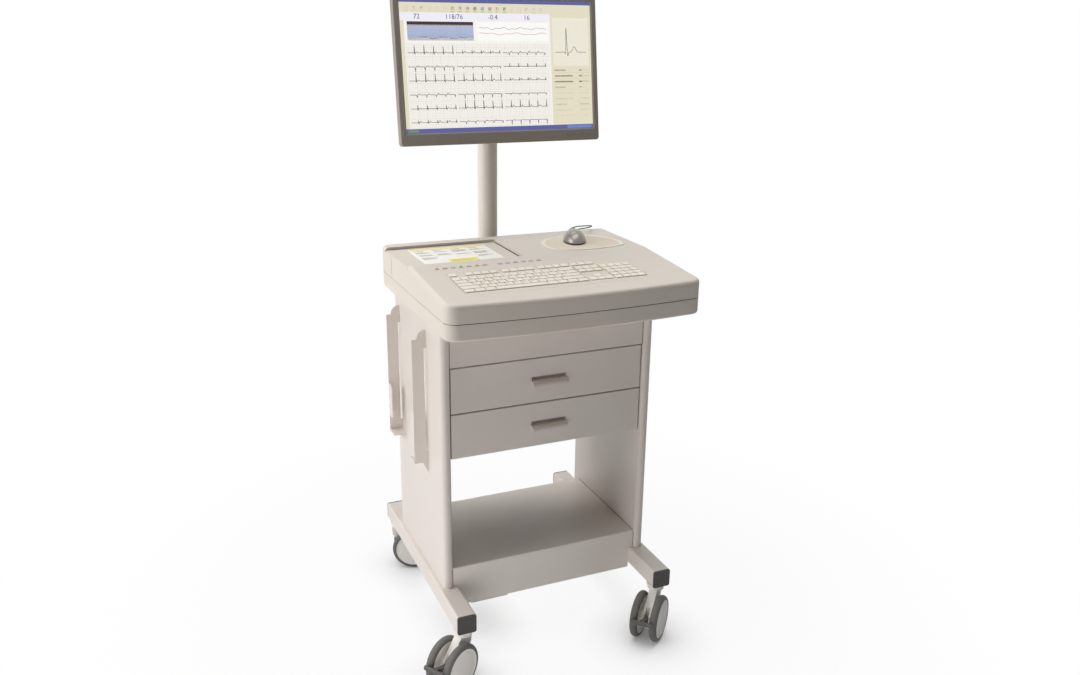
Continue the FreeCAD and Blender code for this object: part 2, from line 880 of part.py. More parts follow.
def foil_zone(grow, low, high):
    """Block over the keyboard foil in the slope's own frame."""
    width, depth = foil_size()
    left = foil_left_x
    zone = block(
        (left - grow, left + width + grow), (-foil_rear - depth - grow, -foil_rear + grow), (low, high)
    )
    return rounded(zone, Z, 4 + grow)


def key_run(start, count, span=1):
    """Neighbouring keys of one width, as (start, span) in key pitches."""
    return tuple((start + step * span, span) for step in range(count))


key_rows = (
    key_run(0, 1) + key_run(2, 4) + key_run(6.5, 4) + key_run(11, 4) + key_run(15.25, 3),
    key_run(0, 13) + ((13, 2),) + key_run(15.25, 3),
    ((0, 1.5),) + key_run(1.5, 12) + ((13.5, 1.5),) + key_run(15.25, 3),
    ((0, 1.75),) + key_run(1.75, 11) + ((12.75, 2.25),),
    ((0, 2.25),) + key_run(2.25, 10) + ((12.25, 2.75), (16.25, 1)),
    key_run(0, 3, 1.25) + ((3.75, 6.25),) + key_run(10, 4, 1.25) + key_run(15.25, 3),
)
number_pad = tuple((18.5 + column, row) for row in range(1, 6) for column in range(4))


def keyboard_foil():
    """Sealed keyboard: one foil with the raised keys of a full layout."""
    base = foil_zone(0, -foil_thickness, 0)
    left = foil_left_x + foil_margin
    rear = -foil_rear - foil_margin
    keys = []
    places = [(start, row, span) for row, keys_in_row in enumerate(key_rows) for start, span in keys_in_row]
    places += [(start, row, 1) for start, row in number_pad]
    for start, row, span in places:
        x = left + start * key_pitch + key_gap / 2
        y = rear - (row + 1) * key_row_pitch - min(row, 1) * function_row_gap + key_gap / 2
        size = span * key_pitch - key_gap
        depth = key_row_pitch - key_gap
        keys.append(block((x, x + size), (y, y + depth), (-foil_thickness / 2, key_height)))
    return placed(joined([base] + keys), slope_place)


def function_keys():
    """Row of short oval keys behind the keyboard, as separate caps on the slope."""
    caps = []
    half_width = function_key_width / 2
    straight = (function_key_length - function_key_width) / 2
    for first, pitch, count in function_groups:
        for step in range(count):
            x = first + step * pitch
            y = -function_key_distance
            high = function_key_height
            bar = block((x - straight, x + straight), (y - half_width, y + half_width), (0, high))
            ends = [drum(half_width, V(x + side * straight, y, 0), Z, high) for side in (-1, 1)]
            caps.append(placed(joined([bar] + ends), slope_place))
    return Part.makeCompound(caps)


def pad_solid(grow, low, height):
    """Leaf-shaped mouse pad: a round rear edge, a flat front arc and one drawn-out tip."""
    middle = (pad_left_x + pad_tip_x) / 2
    tip = V(pad_tip_x, pad_front_y, low)
    left = V(pad_left_x, pad_front_y, low)
    rear = Part.Circle(tip, V(middle, pad_rear_y, low), left)
    front = Part.Circle(left, V(middle, pad_front_y - pad_front_bow, low), tip)
    rear_y = rear.Center.y
    front_y = front.Center.y
    rear_r = rear.Radius + grow
    front_r = front.Radius + grow
    y = (rear_r ** 2 - front_r ** 2 + front_y ** 2 - rear_y ** 2) / (2 * (front_y - rear_y))
    half = math.sqrt(rear_r ** 2 - (y - rear_y) ** 2)
    left = V(middle - half, y, low)
    tip = V(middle + half, y, low)
    edges = [
        Part.Arc(tip, V(middle, rear_y + rear_r, low), left).toShape(),
        Part.Arc(left, V(middle, front_y - front_r, low), tip).toShape(),
    ]
    leaf = Part.Face(Part.Wire(edges)).extrude(Z * height)
    corners = edges_along(leaf, Z)
    blunt = [edge for edge in corners if edge.CenterOfMass.x < middle]
    leaf = leaf.makeFillet(pad_corner + grow, blunt)
    sharp = [edge for edge in edges_along(leaf, Z) if edge.CenterOfMass.x > middle + half / 2]
    return leaf.makeFillet(pad_tip + grow, sharp)


def mouse_pad():
    low = console_top_z - pad_depth
    top = console_top_z + pad_rim_height
    plate = pad_solid(0, low, top - low)
    return plate.cut(pad_solid(-pad_rim, pad_top_z, 10))


def mouse_form(inset):
    """Egg of revolution about the mouse's long axis: a full tail and a slimmer nose."""
    half = mouse_length / 2 - inset
    radius = mouse_radius - inset
    centre = V(0, mouse_swell_y, mouse_axis_z)
    crown = centre + Z * radius
    tail = V(0, -half, mouse_axis_z)
    nose = V(0, half, mouse_axis_z)
    edges = []
    for end in (tail, nose):
        oval = Part.Ellipse(end, crown, centre)
        edges.append(Part.ArcOfEllipse(oval, 0, math.pi / 2).toShape())
    edges.append(Part.makeLine(tail, nose))
    return Part.Face(Part.Wire(Part.sortEdges(edges)[0])).revolve(tail, Y, 360)


def mouse_pieces():
    """Base, shell with a button deck, two hinged button caps and the scroll wheel."""
    reach = mouse_length
    egg = mouse_form(0)
    hollow = mouse_form(mouse_shell)
    base = egg.common(block((-reach, reach), (-reach, reach), (0, mouse_base_height)))
    upper = egg.common(block((-reach, reach), (-reach, reach), (mouse_base_height, reach)))
    front = block((-reach, reach), (mouse_split_y, reach), (mouse_deck_z, reach))
    well_x = mouse_wheel_width / 2 + mouse_post_gap
    well = block(
        (-well_x, well_x),
        (mouse_wheel_y - mouse_wheel_radius - 1, mouse_wheel_y + mouse_wheel_radius + 1),
        (mouse_base_height + 2, reach),
    )
    wheel_z = mouse_wheel_top() - mouse_wheel_radius
    posts = []
    for side in (-1, 1):
        x = sorted((side * well_x, side * (well_x + mouse_post)))
        posts.append(block(x, (mouse_wheel_y - 3, mouse_wheel_y + 3), (mouse_deck_z - 1, wheel_z + 2.5)))
    axle_half = well_x + mouse_post
    bore_start = V(-axle_half - 1, mouse_wheel_y, wheel_z)
    bore = drum(mouse_pin_radius + running_fit, bore_start, X, 2 * axle_half + 2)
    shell = joined([upper.cut(front)] + posts).cut(well).cut(bore)
    caps = egg.cut(hollow).common(front)
    gap = mouse_button_gap
    slit = well_x
    keep_clear = [
        block((-gap / 2, gap / 2), (-reach, reach), (0, reach)),
        block((-reach, reach), (mouse_split_y - 1, mouse_split_y + gap), (0, reach)),
        block((-reach, reach), (0, reach), (0, mouse_deck_z + 2)),
        block(
            (-slit, slit),
            (mouse_wheel_y - mouse_wheel_radius - 1, mouse_wheel_y + mouse_wheel_radius + 1),
            (0, reach),
        ),
    ]
    caps = without(caps, keep_clear)
    left = caps.common(block((-reach, 0), (0, reach), (0, reach)))
    right = caps.common(block((0, reach), (0, reach), (0, reach)))
    half = mouse_wheel_width / 2
    tyre = drum(mouse_wheel_radius, V(-half, mouse_wheel_y, wheel_z), X, mouse_wheel_width)
    tyre = tyre.makeChamfer(1.2, [edge for edge in tyre.Edges if isinstance(edge.Curve, Part.Circle)])
    pin = drum(mouse_pin_radius, V(-axle_half, mouse_wheel_y, wheel_z), X, 2 * axle_half)
    wheel = joined([tyre, pin])
    names = ("mouse_base", "mouse_shell", "mouse_left_button", "mouse_right_button", "mouse_wheel")
    solids = (base, shell, left, right, wheel)
    return {name: placed(solid, mouse_place) for name, solid in zip(names, solids)}


def mouse_wheel_top():
    """Height of the scroll wheel's crown above the mouse's underside."""
    nose = mouse_length / 2 - mouse_swell_y
    along = (mouse_wheel_y - mouse_swell_y) / nose
    return mouse_axis_z + mouse_radius * math.sqrt(1 - along * along) + mouse_wheel_proud


def cord_tube(points, radius):
    """Tube along straight runs joined by the largest tangent arcs that the runs allow."""
    corners = [V(*point) for point in points]
    edges = []
    here = corners[0]
    radii = []
    for before, corner, after in zip(corners, corners[1:], corners[2:]):
        back = (before - corner).normalize()
        ahead = (after - corner).normalize()
        run = 0.45 * min((before - corner).Length, (after - corner).Length)
        turn = math.pi - back.getAngle(ahead)
        bend = run / math.tan(turn / 2)
        start = corner + back * run
        end = corner + ahead * run
        towards = (back + ahead).normalize()
        centre = corner + towards * math.sqrt(run * run + bend * bend)
        middle = centre - towards * bend
        edges.append(Part.LineSegment(here, start).toShape())
        edges.append(Part.Arc(start, middle, end).toShape())
        radii.append(bend)
        here = end
    edges.append(Part.LineSegment(here, corners[-1]).toShape())
    path = Part.Wire(edges)
    section = Part.Wire(Part.makeCircle(radius, corners[0], corners[1] - corners[0]))
    tube = path.makePipeShell([section], True, False)
    print("cord radii", [round(value, 1) for value in radii])
    print("cord length", round(path.Length, 1), "volume ratio",
          round(tube.Volume / (math.pi * radius ** 2 * path.Length), 4))
    return tube


def mouse_plug():
    """Plug of the mouse cord, standing in a socket of the rear plate."""
    z = connector_base_z + connector_height / 2
    y = console_rear_y
    reach = plug_width / 2
    rise = plug_height / 2
    body = block((plug_x - reach, plug_x + reach), (y, y + plug_length), (z - rise, z + rise))
    body = rounded(body, Y, 2)
    reach = tongue_width / 2
    rise = tongue_height / 2
    tongue = block((plug_x - reach, plug_x + reach), (y - tongue_length, y + 1), (z - rise, z + rise))
    return joined([body, tongue])


def mainboard():
    """Board on four stand-offs with its heat sink and connectors."""
    floor = console_base_z + console_wall
    lift = 10
    x = (10, 230)
    y = (-190, -20)
    top = floor + lift + 1.6
    pieces = [block(x, y, (floor + lift, top))]
    for px in (x[0] + 8, x[1] - 8):
        for py in (y[0] + 8, y[1] - 8):
            pieces.append(drum(3.5, V(px, py, floor), Z, lift))
    for fin in range(8):
        fx = x[0] + 60 + fin * 7
        pieces.append(block((fx, fx + 2.5), (y[0] + 55, y[0] + 115), (top + 4, top + 24)))
    pieces.append(block((x[0] + 58, x[0] + 114), (y[0] + 55, y[0] + 115), (top, top + 4)))
    for slot in range(2):
        fy = y[1] - 40 + slot * 14
        pieces.append(block((x[0] + 20, x[0] + 150), (fy, fy + 6), (top, top + 8)))
    return joined(pieces)


def power_supply():
    floor = console_base_z + console_wall
    case = block((50, 200), (20, 120), (floor, floor + 42))
    case = rounded(case, Z, 3)
    slots = []
    for step in range(8):
        x = 65 + step * 17
        slots.append(block((x - 3, x + 3), (40, 100), (floor + 40, floor + 43)))
    return without(case, slots)


def connector_plate():
    """Rear plate with the mains inlet and the row of signal sockets."""
    left = connector_left_x + 0.2
    right = connector_left_x + connector_width - 0.2
    low = connector_base_z + 0.2
    high = connector_base_z + connector_height - 0.2
    y = console_rear_y
    plate = block((left, right), (y - console_wall, y), (low, high))
    body = block((left + 6, left + 48), (y - 24, y - console_wall), (low + 1, high - 1))
    piece = joined([plate, body])
    middle = (low + high) / 2
    cutters = [block((left + 13.5, left + 40.5), (y - 18, y + 1), (middle - 10, middle + 10))]
    for step in range(3):
        x = left + 66 + step * 20
        cutters.append(block((x - 6.6, x + 6.6), (y - console_wall - 1, y + 1), (middle - 3, middle + 3)))
    cutters.append(block((left + 124, left + 140), (y - console_wall - 1, y + 1), (middle - 7, middle + 7)))
    cutters.append(drum(7, V(right - 16, y - console_wall - 1, middle), Y, console_wall + 2))
    return without(piece, cutters)


def pole():
    length = pole_top_z - pole_bottom_z
    tube = drum(pole_radius, V(0, pole_y, pole_bottom_z), Z, length)
    bore = drum(pole_radius - pole_wall, V(0, pole_y, pole_bottom_z + pole_wall), Z, length)
    return tube.cut(bore)


def pole_bracket():
    """Plate on the cabinet's back with two clamp rings for the pole and a web between them."""
    start = back_panel_y + shelf_sheet
    plate = block(
        (-bracket_width / 2, bracket_width / 2),
        (start, start + bracket_plate),
        (bracket_base_z, bracket_base_z + bracket_height),
    )
    plate = rounded(plate, Y, 12)
    ring_radius = pole_radius + clamp_wall
    pieces = [plate]
    for z in (bracket_base_z + 15, bracket_base_z + bracket_height - 15 - clamp_height):
        pieces.append(drum(ring_radius, V(0, pole_y, z), Z, clamp_height))
        pieces.append(block((-ring_radius, ring_radius), (start, pole_y), (z, z + clamp_height)))
    web_z = (bracket_base_z + 15, bracket_base_z + bracket_height - 15)
    pieces.append(block((-4, 4), (start, pole_y), web_z))
    bore = drum(pole_radius + clamp_clearance, V(0, pole_y, bracket_base_z - 1), Z, bracket_height + 2)
    return joined(pieces).cut(bore)


def monitor_neck():
    """Swivel head: spigot in the pole, cap on it, and two ears with the tilt pin."""
    spigot_radius = pole_radius - pole_wall - running_fit
    low = pole_top_z + seat_gap
    spigot_start = V(0, pole_y, pole_top_z - spigot_length)
    spigot = drum(spigot_radius, spigot_start, Z, spigot_length + head_height / 2)
    cap = drum(head_radius, V(0, pole_y, low), Z, head_height)
    cap = cap.makeChamfer(3, rim_edges(cap, 1))
    pieces = [spigot, cap]
    inner = knuckle_half + seat_gap
    for side in (-1, 1):
        x = sorted((side * inner, side * (inner + ear_thickness)))
        eye = drum(ear_radius, V(x[0], tilt_axis.y, tilt_axis.z), X, ear_thickness)
        base_z = low + head_height / 2
        strut = prism(
            (
                V(x[0], tilt_axis.y - ear_radius, tilt_axis.z), V(x[0], pole_y - 20, base_z),
                V(x[0], pole_y + 16, base_z), V(x[0], tilt_axis.y + ear_radius, tilt_axis.z),
            ),
            X * ear_thickness,
        )
        pieces += [eye, strut]
    pin_half = inner + ear_thickness + 2
    pieces.append(drum(pin_radius, V(-pin_half, tilt_axis.y, tilt_axis.z), X, 2 * pin_half))
    return joined(pieces)


def tilt_plate():
    """Square mounting plate on the monitor's back, with the knuckle that turns on the pin."""
    half = vesa_plate / 2
    y = monitor_depth
    plate = block((-half, half), (y, y + vesa_thickness), (tilt_z - half, tilt_z + half))
    plate = rounded(plate, Y, 8)
    knuckle = drum(knuckle_radius, V(-knuckle_half, tilt_y, tilt_z), X, 2 * knuckle_half)
    web = block((-knuckle_half, knuckle_half), (y, tilt_y), (tilt_z - 8, tilt_z + 8))
    piece = joined([plate, knuckle, web])
    bore = drum(pin_radius + running_fit, V(-knuckle_half - 1, tilt_y, tilt_z), X, 2 * knuckle_half + 2)
    return placed(piece.cut(bore), monitor_place)


def button_x(step):
    return button_right_x - step * button_pitch


def monitor_frame():
    """Bezel: front face with the screen opening, side walls behind it, holes for the buttons."""
    half = monitor_width / 2
    outer = block((-half, half), (0, frame_depth), (0, monitor_height))
    outer = rounded(outer, Y, frame_corner)
    outer = outer.makeFillet(2, [edge for edge in outer.Edges if abs(edge.CenterOfMass.y) < 0.01])
    hollow = block(
        (-half + frame_wall, half - frame_wall),
        (frame_face, frame_depth + 1),
        (frame_wall, monitor_height - frame_wall),
    )
    cutters = [opening_cut(), hollow]
    for step in range(button_count):
        cutters.append(button_block(step, button_clearance, -2, frame_face + 1))
    return placed(without(outer, cutters), monitor_place)


def frame_corners(grow):
    low = screen_low - grow
    high = screen_low + screen_height + grow
    return ((-1, low), (1, low), (1, high), (-1, high))


def opening_cut():
    """Screen opening with a slanted inner edge, wider at the front."""

    def ring(grow, y):
        reach = screen_width / 2 + grow
        points = [V(side * reach, y, z) for side, z in frame_corners(grow)]
        return Part.makePolygon(points + [points[0]])

    return Part.makeLoft([ring(3, -0.01), ring(0, frame_face + 0.01)], True, True)


def button_block(step, grow, front, rear):
    x = button_x(step)
    reach = button_width / 2 + grow
    rise = button_height / 2 + grow
    return block((x - reach, x + reach), (front, rear), (button_z - rise, button_z + rise))


def monitor_button(step):
    cap = button_block(step, 0, -button_proud, button_depth - button_proud)
    cap = cap.makeFillet(0.8, [edge for edge in cap.Edges if edge.CenterOfMass.y < -button_proud + 0.01])
    return placed(cap, monitor_place)


def display_panel():
    reach = screen_width / 2 + display_overlap
    low = screen_low - display_overlap
    high = low + screen_height + 2 * display_overlap
    panel = block((-reach, reach), (frame_face, frame_face + display_thickness), (low, high))
    return placed(panel, monitor_place)


def cover_form(inset, start, end):
    """Tapered back of the monitor between two depths, as a loft of two rectangles."""

    def ring(shrink, y):
        reach = monitor_width / 2 - shrink
        points = [
            V(-reach, y, shrink), V(reach, y, shrink),
            V(reach, y, monitor_height - shrink), V(-reach, y, monitor_height - shrink),
        ]
        return Part.makePolygon(points + [points[0]])

    loft = Part.makeLoft([ring(inset + 1, start), ring(cover_inset + inset, end)], True, True)
    slanted = [
        edge for edge in loft.Edges
        if abs(edge.tangentAt(edge.FirstParameter).y) > 0.2
    ]
    return loft.makeFillet(max(frame_corner - inset, 2), slanted)


def monitor_cover():
    outer = cover_form(0, frame_depth, monitor_depth)
    hollow = cover_form(cover_wall, frame_depth - 0.01, monitor_depth - cover_wall)
    through = (monitor_depth - cover_wall - 1, monitor_depth + 1)
    half = vent_width / 2
    vents = []
    for step in range(vent_count):
        x = (step - (vent_count - 1) / 2) * vent_pitch
        for z in (cover_inset + 20, monitor_height - cover_inset - 20 - vent_height):
            vents.append(block((x - half, x + half), through, (z, z + vent_height)))
    return placed(without(outer.cut(hollow), vents), monitor_place)


def side_holder():
    """Two bent sheet brackets hooked on the left panel; papers stand between them."""
    face = -panel_face_x
    near = face - holder_gap
    far = near - holder_reach
    brackets = []
    for y, towards in ((holder_front_y, 1), (holder_rear_y, -1)):
        across = sorted((y, y + towards * holder_sheet))
        strip = block((far, near), across, (holder_low_z, holder_high_z))
        ear = drum(holder_ear, V(face, across[0], holder_high_z), Y, holder_sheet)
        quarter = (holder_high_z - holder_ear, holder_high_z + holder_ear)
        ear = ear.common(block((face - holder_ear, face), across, quarter))
        hook_top = holder_low_z + holder_hook
        hook = prism(
            (
                V(face, across[0], hook_top), V(near - 8, across[0], hook_top),
                V(near - 8, across[0], holder_low_z), V(face, across[0], holder_low_z - holder_hook),
            ),
            Y * holder_sheet,
        )
        pieces = [strip, ear, hook]
        run = sorted((y, y + towards * holder_lip))
        lip = block((far, far + holder_sheet), run, (holder_lip_low_z, holder_lip_high_z))
        corner_y = y + towards * holder_lip
        corner = [
            edge for edge in edges_along(lip, X)
            if abs(edge.CenterOfMass.y - corner_y) < 0.01 and edge.CenterOfMass.z > holder_lip_low_z + 1
        ]
        pieces.append(lip.makeFillet(holder_lip * 0.6, corner))
        floor = sorted((y, y + towards * holder_floor))
        pieces.append(block((far, near), floor, (holder_low_z, holder_low_z + holder_sheet)))
        brackets.append(joined(pieces))
    return Part.makeCompound(brackets)


def castor_nodes():
    nodes = {}
    forks = {"front": castor_fork(True), "rear": castor_fork(False)}
    pedal = castor_pedal()
    wheels = {"left": castor_wheel(1), "right": castor_wheel(-1)}
    for name, heading in headings.items():
        x = foot_x if name.endswith("right") else -foot_x
        y = castor_y if name.startswith("rear") else -castor_y
        place = FreeCAD.Placement(V(x, y, 0), FreeCAD.Rotation(Z, heading))
        nodes["castor_fork_" + name] = placed(forks[name.split("_")[0]], place)
        for side, wheel in wheels.items():
            nodes["castor_wheel_" + name + "_" + side] = placed(wheel, place)
        if name.startswith("front"):
            nodes["brake_pedal_" + name] = placed(pedal, place)
    return nodes


def trolley_nodes():
    corners = [(x, y) for x in (-foot_x, foot_x) for y in (-castor_y, castor_y)]
    caps = [end_cap(x, end) for x in (-foot_x, foot_x) for end in (-1, 1)]
    runners = [drawer_runner(side, base) for base in drawer_bases.values() for side in (-1, 1)]
    outer, lower, upper = console_halves()
    nodes = {
        "foot_tube_left": foot_tube(-1),
        "foot_tube_right": foot_tube(1),
        "foot_end_caps": Part.makeCompound(caps),
        "castor_stems": Part.makeCompound([castor_stem(x, y) for x, y in corners]),
        "side_panel_left": side_panel(-1),
        "side_panel_right": side_panel(1),
        "bottom_shelf": bottom_shelf(),
        "transformer_case": transformer_case(),
        "back_panel": back_panel(),
        "fascia_panel": fascia_panel(),
        "drawer_runners": Part.makeCompound(runners),
        "console_lower_shell": console_lower_shell(lower),
        "console_upper_shell": console_upper_shell(upper, outer),
        "printer_lid": printer_lid(outer, upper),
        "printer_chassis": printer_chassis(),
        "platen_roller": platen_roller(),
        "paper_pack": paper_pack(),
        "keyboard_foil": keyboard_foil(),
        "function_keys": function_keys(),
        "mouse_pad": mouse_pad(),
        "mouse_cord": cord_tube(cord_route, cord_diameter / 2),
        "mouse_plug": mouse_plug(),
        "mainboard": mainboard(),
        "power_supply": power_supply(),
        "connector_plate": connector_plate(),
        "pole": pole(),
        "pole_bracket": pole_bracket(),
        "monitor_neck": monitor_neck(),
        "tilt_plate": tilt_plate(),
        "monitor_frame": monitor_frame(),
        "monitor_cover": monitor_cover(),
        "display_panel": display_panel(),
        "side_holder": side_holder(),
    }
    for level, base in drawer_bases.items():
        nodes["drawer_box_" + level] = drawer_box(base)
        nodes["drawer_front_" + level] = drawer_front(base)
    for step in range(button_count):
        nodes["monitor_button_" + str(step + 1)] = monitor_button(step)
    nodes.update(mouse_pieces())
    nodes.update(castor_nodes())
    return nodes


os.makedirs("parts", exist_ok=True)
for node, shape in trolley_nodes().items():
    shape.exportStep("parts/" + node + ".step")
    print(node, len(shape.Solids), "solids", round(shape.Volume / 1000, 1), "cm3", shape.isValid())
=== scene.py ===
import json
import math

import bmesh
import bpy
import numpy as np
from mathutils import Matrix, Vector
from mathutils.geometry import convex_hull_2d

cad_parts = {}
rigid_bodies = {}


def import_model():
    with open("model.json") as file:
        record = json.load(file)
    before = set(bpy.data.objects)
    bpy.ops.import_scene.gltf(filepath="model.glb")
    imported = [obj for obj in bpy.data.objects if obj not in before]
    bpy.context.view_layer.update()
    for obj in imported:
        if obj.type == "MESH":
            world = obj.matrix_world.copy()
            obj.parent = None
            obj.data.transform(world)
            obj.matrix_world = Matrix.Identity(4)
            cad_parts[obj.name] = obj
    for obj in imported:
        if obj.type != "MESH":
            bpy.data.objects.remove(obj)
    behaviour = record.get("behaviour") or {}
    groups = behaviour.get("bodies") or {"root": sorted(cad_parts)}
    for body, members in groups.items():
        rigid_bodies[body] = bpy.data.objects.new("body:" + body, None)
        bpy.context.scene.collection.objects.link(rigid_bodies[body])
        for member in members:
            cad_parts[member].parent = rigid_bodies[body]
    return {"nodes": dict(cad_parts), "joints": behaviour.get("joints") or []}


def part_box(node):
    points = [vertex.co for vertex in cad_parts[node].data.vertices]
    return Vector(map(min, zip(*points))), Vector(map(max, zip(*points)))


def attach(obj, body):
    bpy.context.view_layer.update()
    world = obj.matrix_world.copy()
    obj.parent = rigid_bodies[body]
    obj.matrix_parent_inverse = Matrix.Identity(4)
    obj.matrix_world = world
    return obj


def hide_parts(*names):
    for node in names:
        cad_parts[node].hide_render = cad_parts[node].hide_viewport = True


# ECG workstation trolley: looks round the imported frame, in metres, floor at z = 0, drawers towards -Y
for leftover in list(bpy.data.objects):
    bpy.data.objects.remove(leftover)
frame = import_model()
nodes = frame["nodes"]
joints = {joint["child"]: joint for joint in frame["joints"]}
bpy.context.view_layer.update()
mm = 0.001


# hexadecimal screen colour to linear light: the sRGB curve undone for each channel
def tint(code):
    channels = np.array([int(code[k:k + 2], 16) for k in (1, 3, 5)]) / 255
    linear = np.where(channels <= 0.04045, channels / 12.92, ((channels + 0.055) / 1.055) ** 2.4)
    return (*linear.tolist(), 1.0)


# doubles at seams and poles are merged; a closed form also gets its faces turned outwards
def sealed(mesh, closedForm=True):
    weld = 1e-7
    work = bmesh.new()
    work.from_mesh(mesh)
    bmesh.ops.remove_doubles(work, verts=work.verts, dist=weld)
    if closedForm:
        bmesh.ops.dissolve_degenerate(work, edges=work.edges, dist=weld)
        bmesh.ops.recalc_face_normals(work, faces=work.faces)
    work.to_mesh(mesh)
    work.free()
    return mesh


# every cell between neighbouring rows and columns of points becomes one quad; a closed direction wraps round
def gridMesh(name, points, closedU=False, closedV=False):
    nu, nv = points.shape[:2]
    i = np.arange(nu if closedU else nu - 1)[:, None]
    j = np.arange(nv if closedV else nv - 1)[None, :]
    iNext = (i + 1) % nu
    jNext = (j + 1) % nv
    quads = np.stack([i * nv + j, iNext * nv + j, iNext * nv + jNext, i * nv + jNext], axis=-1).reshape(-1, 4)
    mesh = bpy.data.meshes.new(name)
    mesh.from_pydata(points.reshape(-1, 3).tolist(), [], quads.tolist())
    return sealed(mesh)


# a profile of (radius, distance along the axis) turned round the axis through centre
def latheMesh(name, profile, centre, axis, steps=64, closed=True):
    along = np.array(axis, float) / np.linalg.norm(axis)
    side = np.cross(along, (0, 0, 1)) if abs(along[2]) < 0.9 else np.cross(along, (1, 0, 0))
    side /= np.linalg.norm(side)
    other = np.cross(along, side)
    angle = np.linspace(0, 2 * np.pi, steps, endpoint=False)[:, None, None]
    radius = profile[None, :, 0, None]
    ring = np.cos(angle) * side + np.sin(angle) * other
    points = np.array(centre, float) + radius * ring + profile[None, :, 1, None] * along
    return gridMesh(name, points, closedU=True, closedV=closed)


# sweeps a row of rings into a solid strip: each end ring closes to its middle
def stripMesh(name, rings):
    ends = rings[[0, -1]].mean(axis=1, keepdims=True).repeat(rings.shape[1], axis=1)
    return gridMesh(name, np.concatenate([ends[:1], rings, ends[1:]]) * mm, closedV=True)


# corners of a polyline replaced by arcs: each arc is a quadratic curve between points set back along both runs
def softened(points, setback, steps=5, most=0.45):
    points = np.array(points, float)
    before = np.roll(points, 1, axis=0)
    after = np.roll(points, -1, axis=0)
    t = np.linspace(0, 1, steps)[None, :, None]

    def backed(towards):
        run = towards - points
        length = np.linalg.norm(run, axis=1, keepdims=True)
        return points + run * np.minimum(setback, most * length) / length

    start = backed(before)[:, None]
    end = backed(after)[:, None]
    return ((1 - t) ** 2 * start + 2 * t * (1 - t) * points[:, None] + t ** 2 * end).reshape(-1, 2)


# flat coloured outlines on a plane, each an (outline, colour) pair, with the colour kept in the ink attribute
def inkMesh(name, shapes, place, lift):
    verts = [place(np.array(outline, float), lift) for outline, colour in shapes]
    starts = np.cumsum([0] + [len(part) for part in verts])
    faces = [list(range(a, b)) for a, b in zip(starts, starts[1:])]
    mesh = bpy.data.meshes.new(name)
    mesh.from_pydata(np.concatenate(verts).tolist(), [], faces)
    ink = mesh.color_attributes.new("ink", "FLOAT_COLOR", "CORNER")
    colours = np.concatenate([np.tile(tint(colour), (len(outline), 1)) for outline, colour in shapes])
    ink.data.foreach_set("color", colours.astype(np.float32).ravel())
    return sealed(mesh, closedForm=False)


# a row of quads between two lines of points
def ribbon(first, second, colour):
    return [(quad, colour) for quad in np.stack([first[:-1], first[1:], second[1:], second[:-1]], axis=1)]


# a polyline widened to a run of quads: each point goes half the width to both sides across its own direction
def strip(line, width, colour):
    line = np.array(line, float)
    run = np.gradient(line, axis=0)
    run /= np.linalg.norm(run, axis=1, keepdims=True)
    across = np.stack([-run[:, 1], run[:, 0]], axis=1) * width / 2
    return ribbon(line - across, line + across, colour)


def bar(u0, w0, u1, w1):
    return [(u0, w0), (u1, w0), (u1, w1), (u0, w1)]


def disc(u, w, radius, steps=20):
    angle = np.linspace(0, 2 * np.pi, steps, endpoint=False)
    return np.stack([u + radius * np.cos(angle), w + radius * np.sin(angle)], axis=1)


def addPiece(name, mesh, body, material, sharp=35):
    piece = bpy.data.objects.new(name, mesh)
    bpy.context.scene.collection.objects.link(piece)
    mesh.materials.clear()
    mesh.materials.append(material)
    mesh.shade_smooth()
    mesh.set_sharp_from_angle(angle=math.radians(sharp))
    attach(piece, body)
    return piece


# a thin print layer that stands on its carrier
def addPrint(name, shapes, place, body, material, lift=0.05, thickness=0.05):
    piece = addPiece(name, inkMesh(name, shapes, place, lift), body, material)
    piece.data.shade_flat()
    layer = piece.modifiers.new("layer", "SOLIDIFY")
    layer.thickness = thickness * mm
    layer.offset = -1
    return piece


# inputs by name or number: a socket is linked, anything else is set as the value
def feed(tree, node, inputs):
    for key, value in inputs.items():
        if isinstance(value, bpy.types.NodeSocket):
            tree.links.new(value, node.inputs[key])
        else:
            node.inputs[key].default_value = value
    return node


def put(tree, kind, inputs=None, **settings):
    node = tree.nodes.new(kind)
    for key, value in settings.items():
        setattr(node, key, value)
    return feed(tree, node, inputs or {})


def calc(tree, operation, *terms):
    return put(tree, "ShaderNodeMath", dict(enumerate(terms)), operation=operation).outputs[0]


def ramp(tree, value, low=0.0, high=1.0, least=0.0, most=1.0, **settings):
    inputs = {"Value": value, "From Min": low, "From Max": high, "To Min": least, "To Max": most}
    return put(tree, "ShaderNodeMapRange", inputs, **settings).outputs["Result"]


def blend(tree, share, first, second, **settings):
    return put(tree, "ShaderNodeMix", {0: share, 6: first, 7: second}, data_type="RGBA", **settings).outputs[2]


def mixShaders(tree, share, first, second):
    return put(tree, "ShaderNodeMixShader", {0: share, 1: first, 2: second}).outputs[0]


def noiseOf(tree, vector, scale, **inputs):
    return put(tree, "ShaderNodeTexNoise", {"Vector": vector, "Scale": scale, **inputs}).outputs["Fac"]


def objectPlace(tree):
    return put(tree, "ShaderNodeTexCoord").outputs["Object"]


def addBump(tree, shader, height, strength, depth):
    bump = put(tree, "ShaderNodeBump", {"Height": height, "Strength": strength, "Distance": depth * mm})
    feed(tree, shader, {"Normal": bump.outputs["Normal"]})


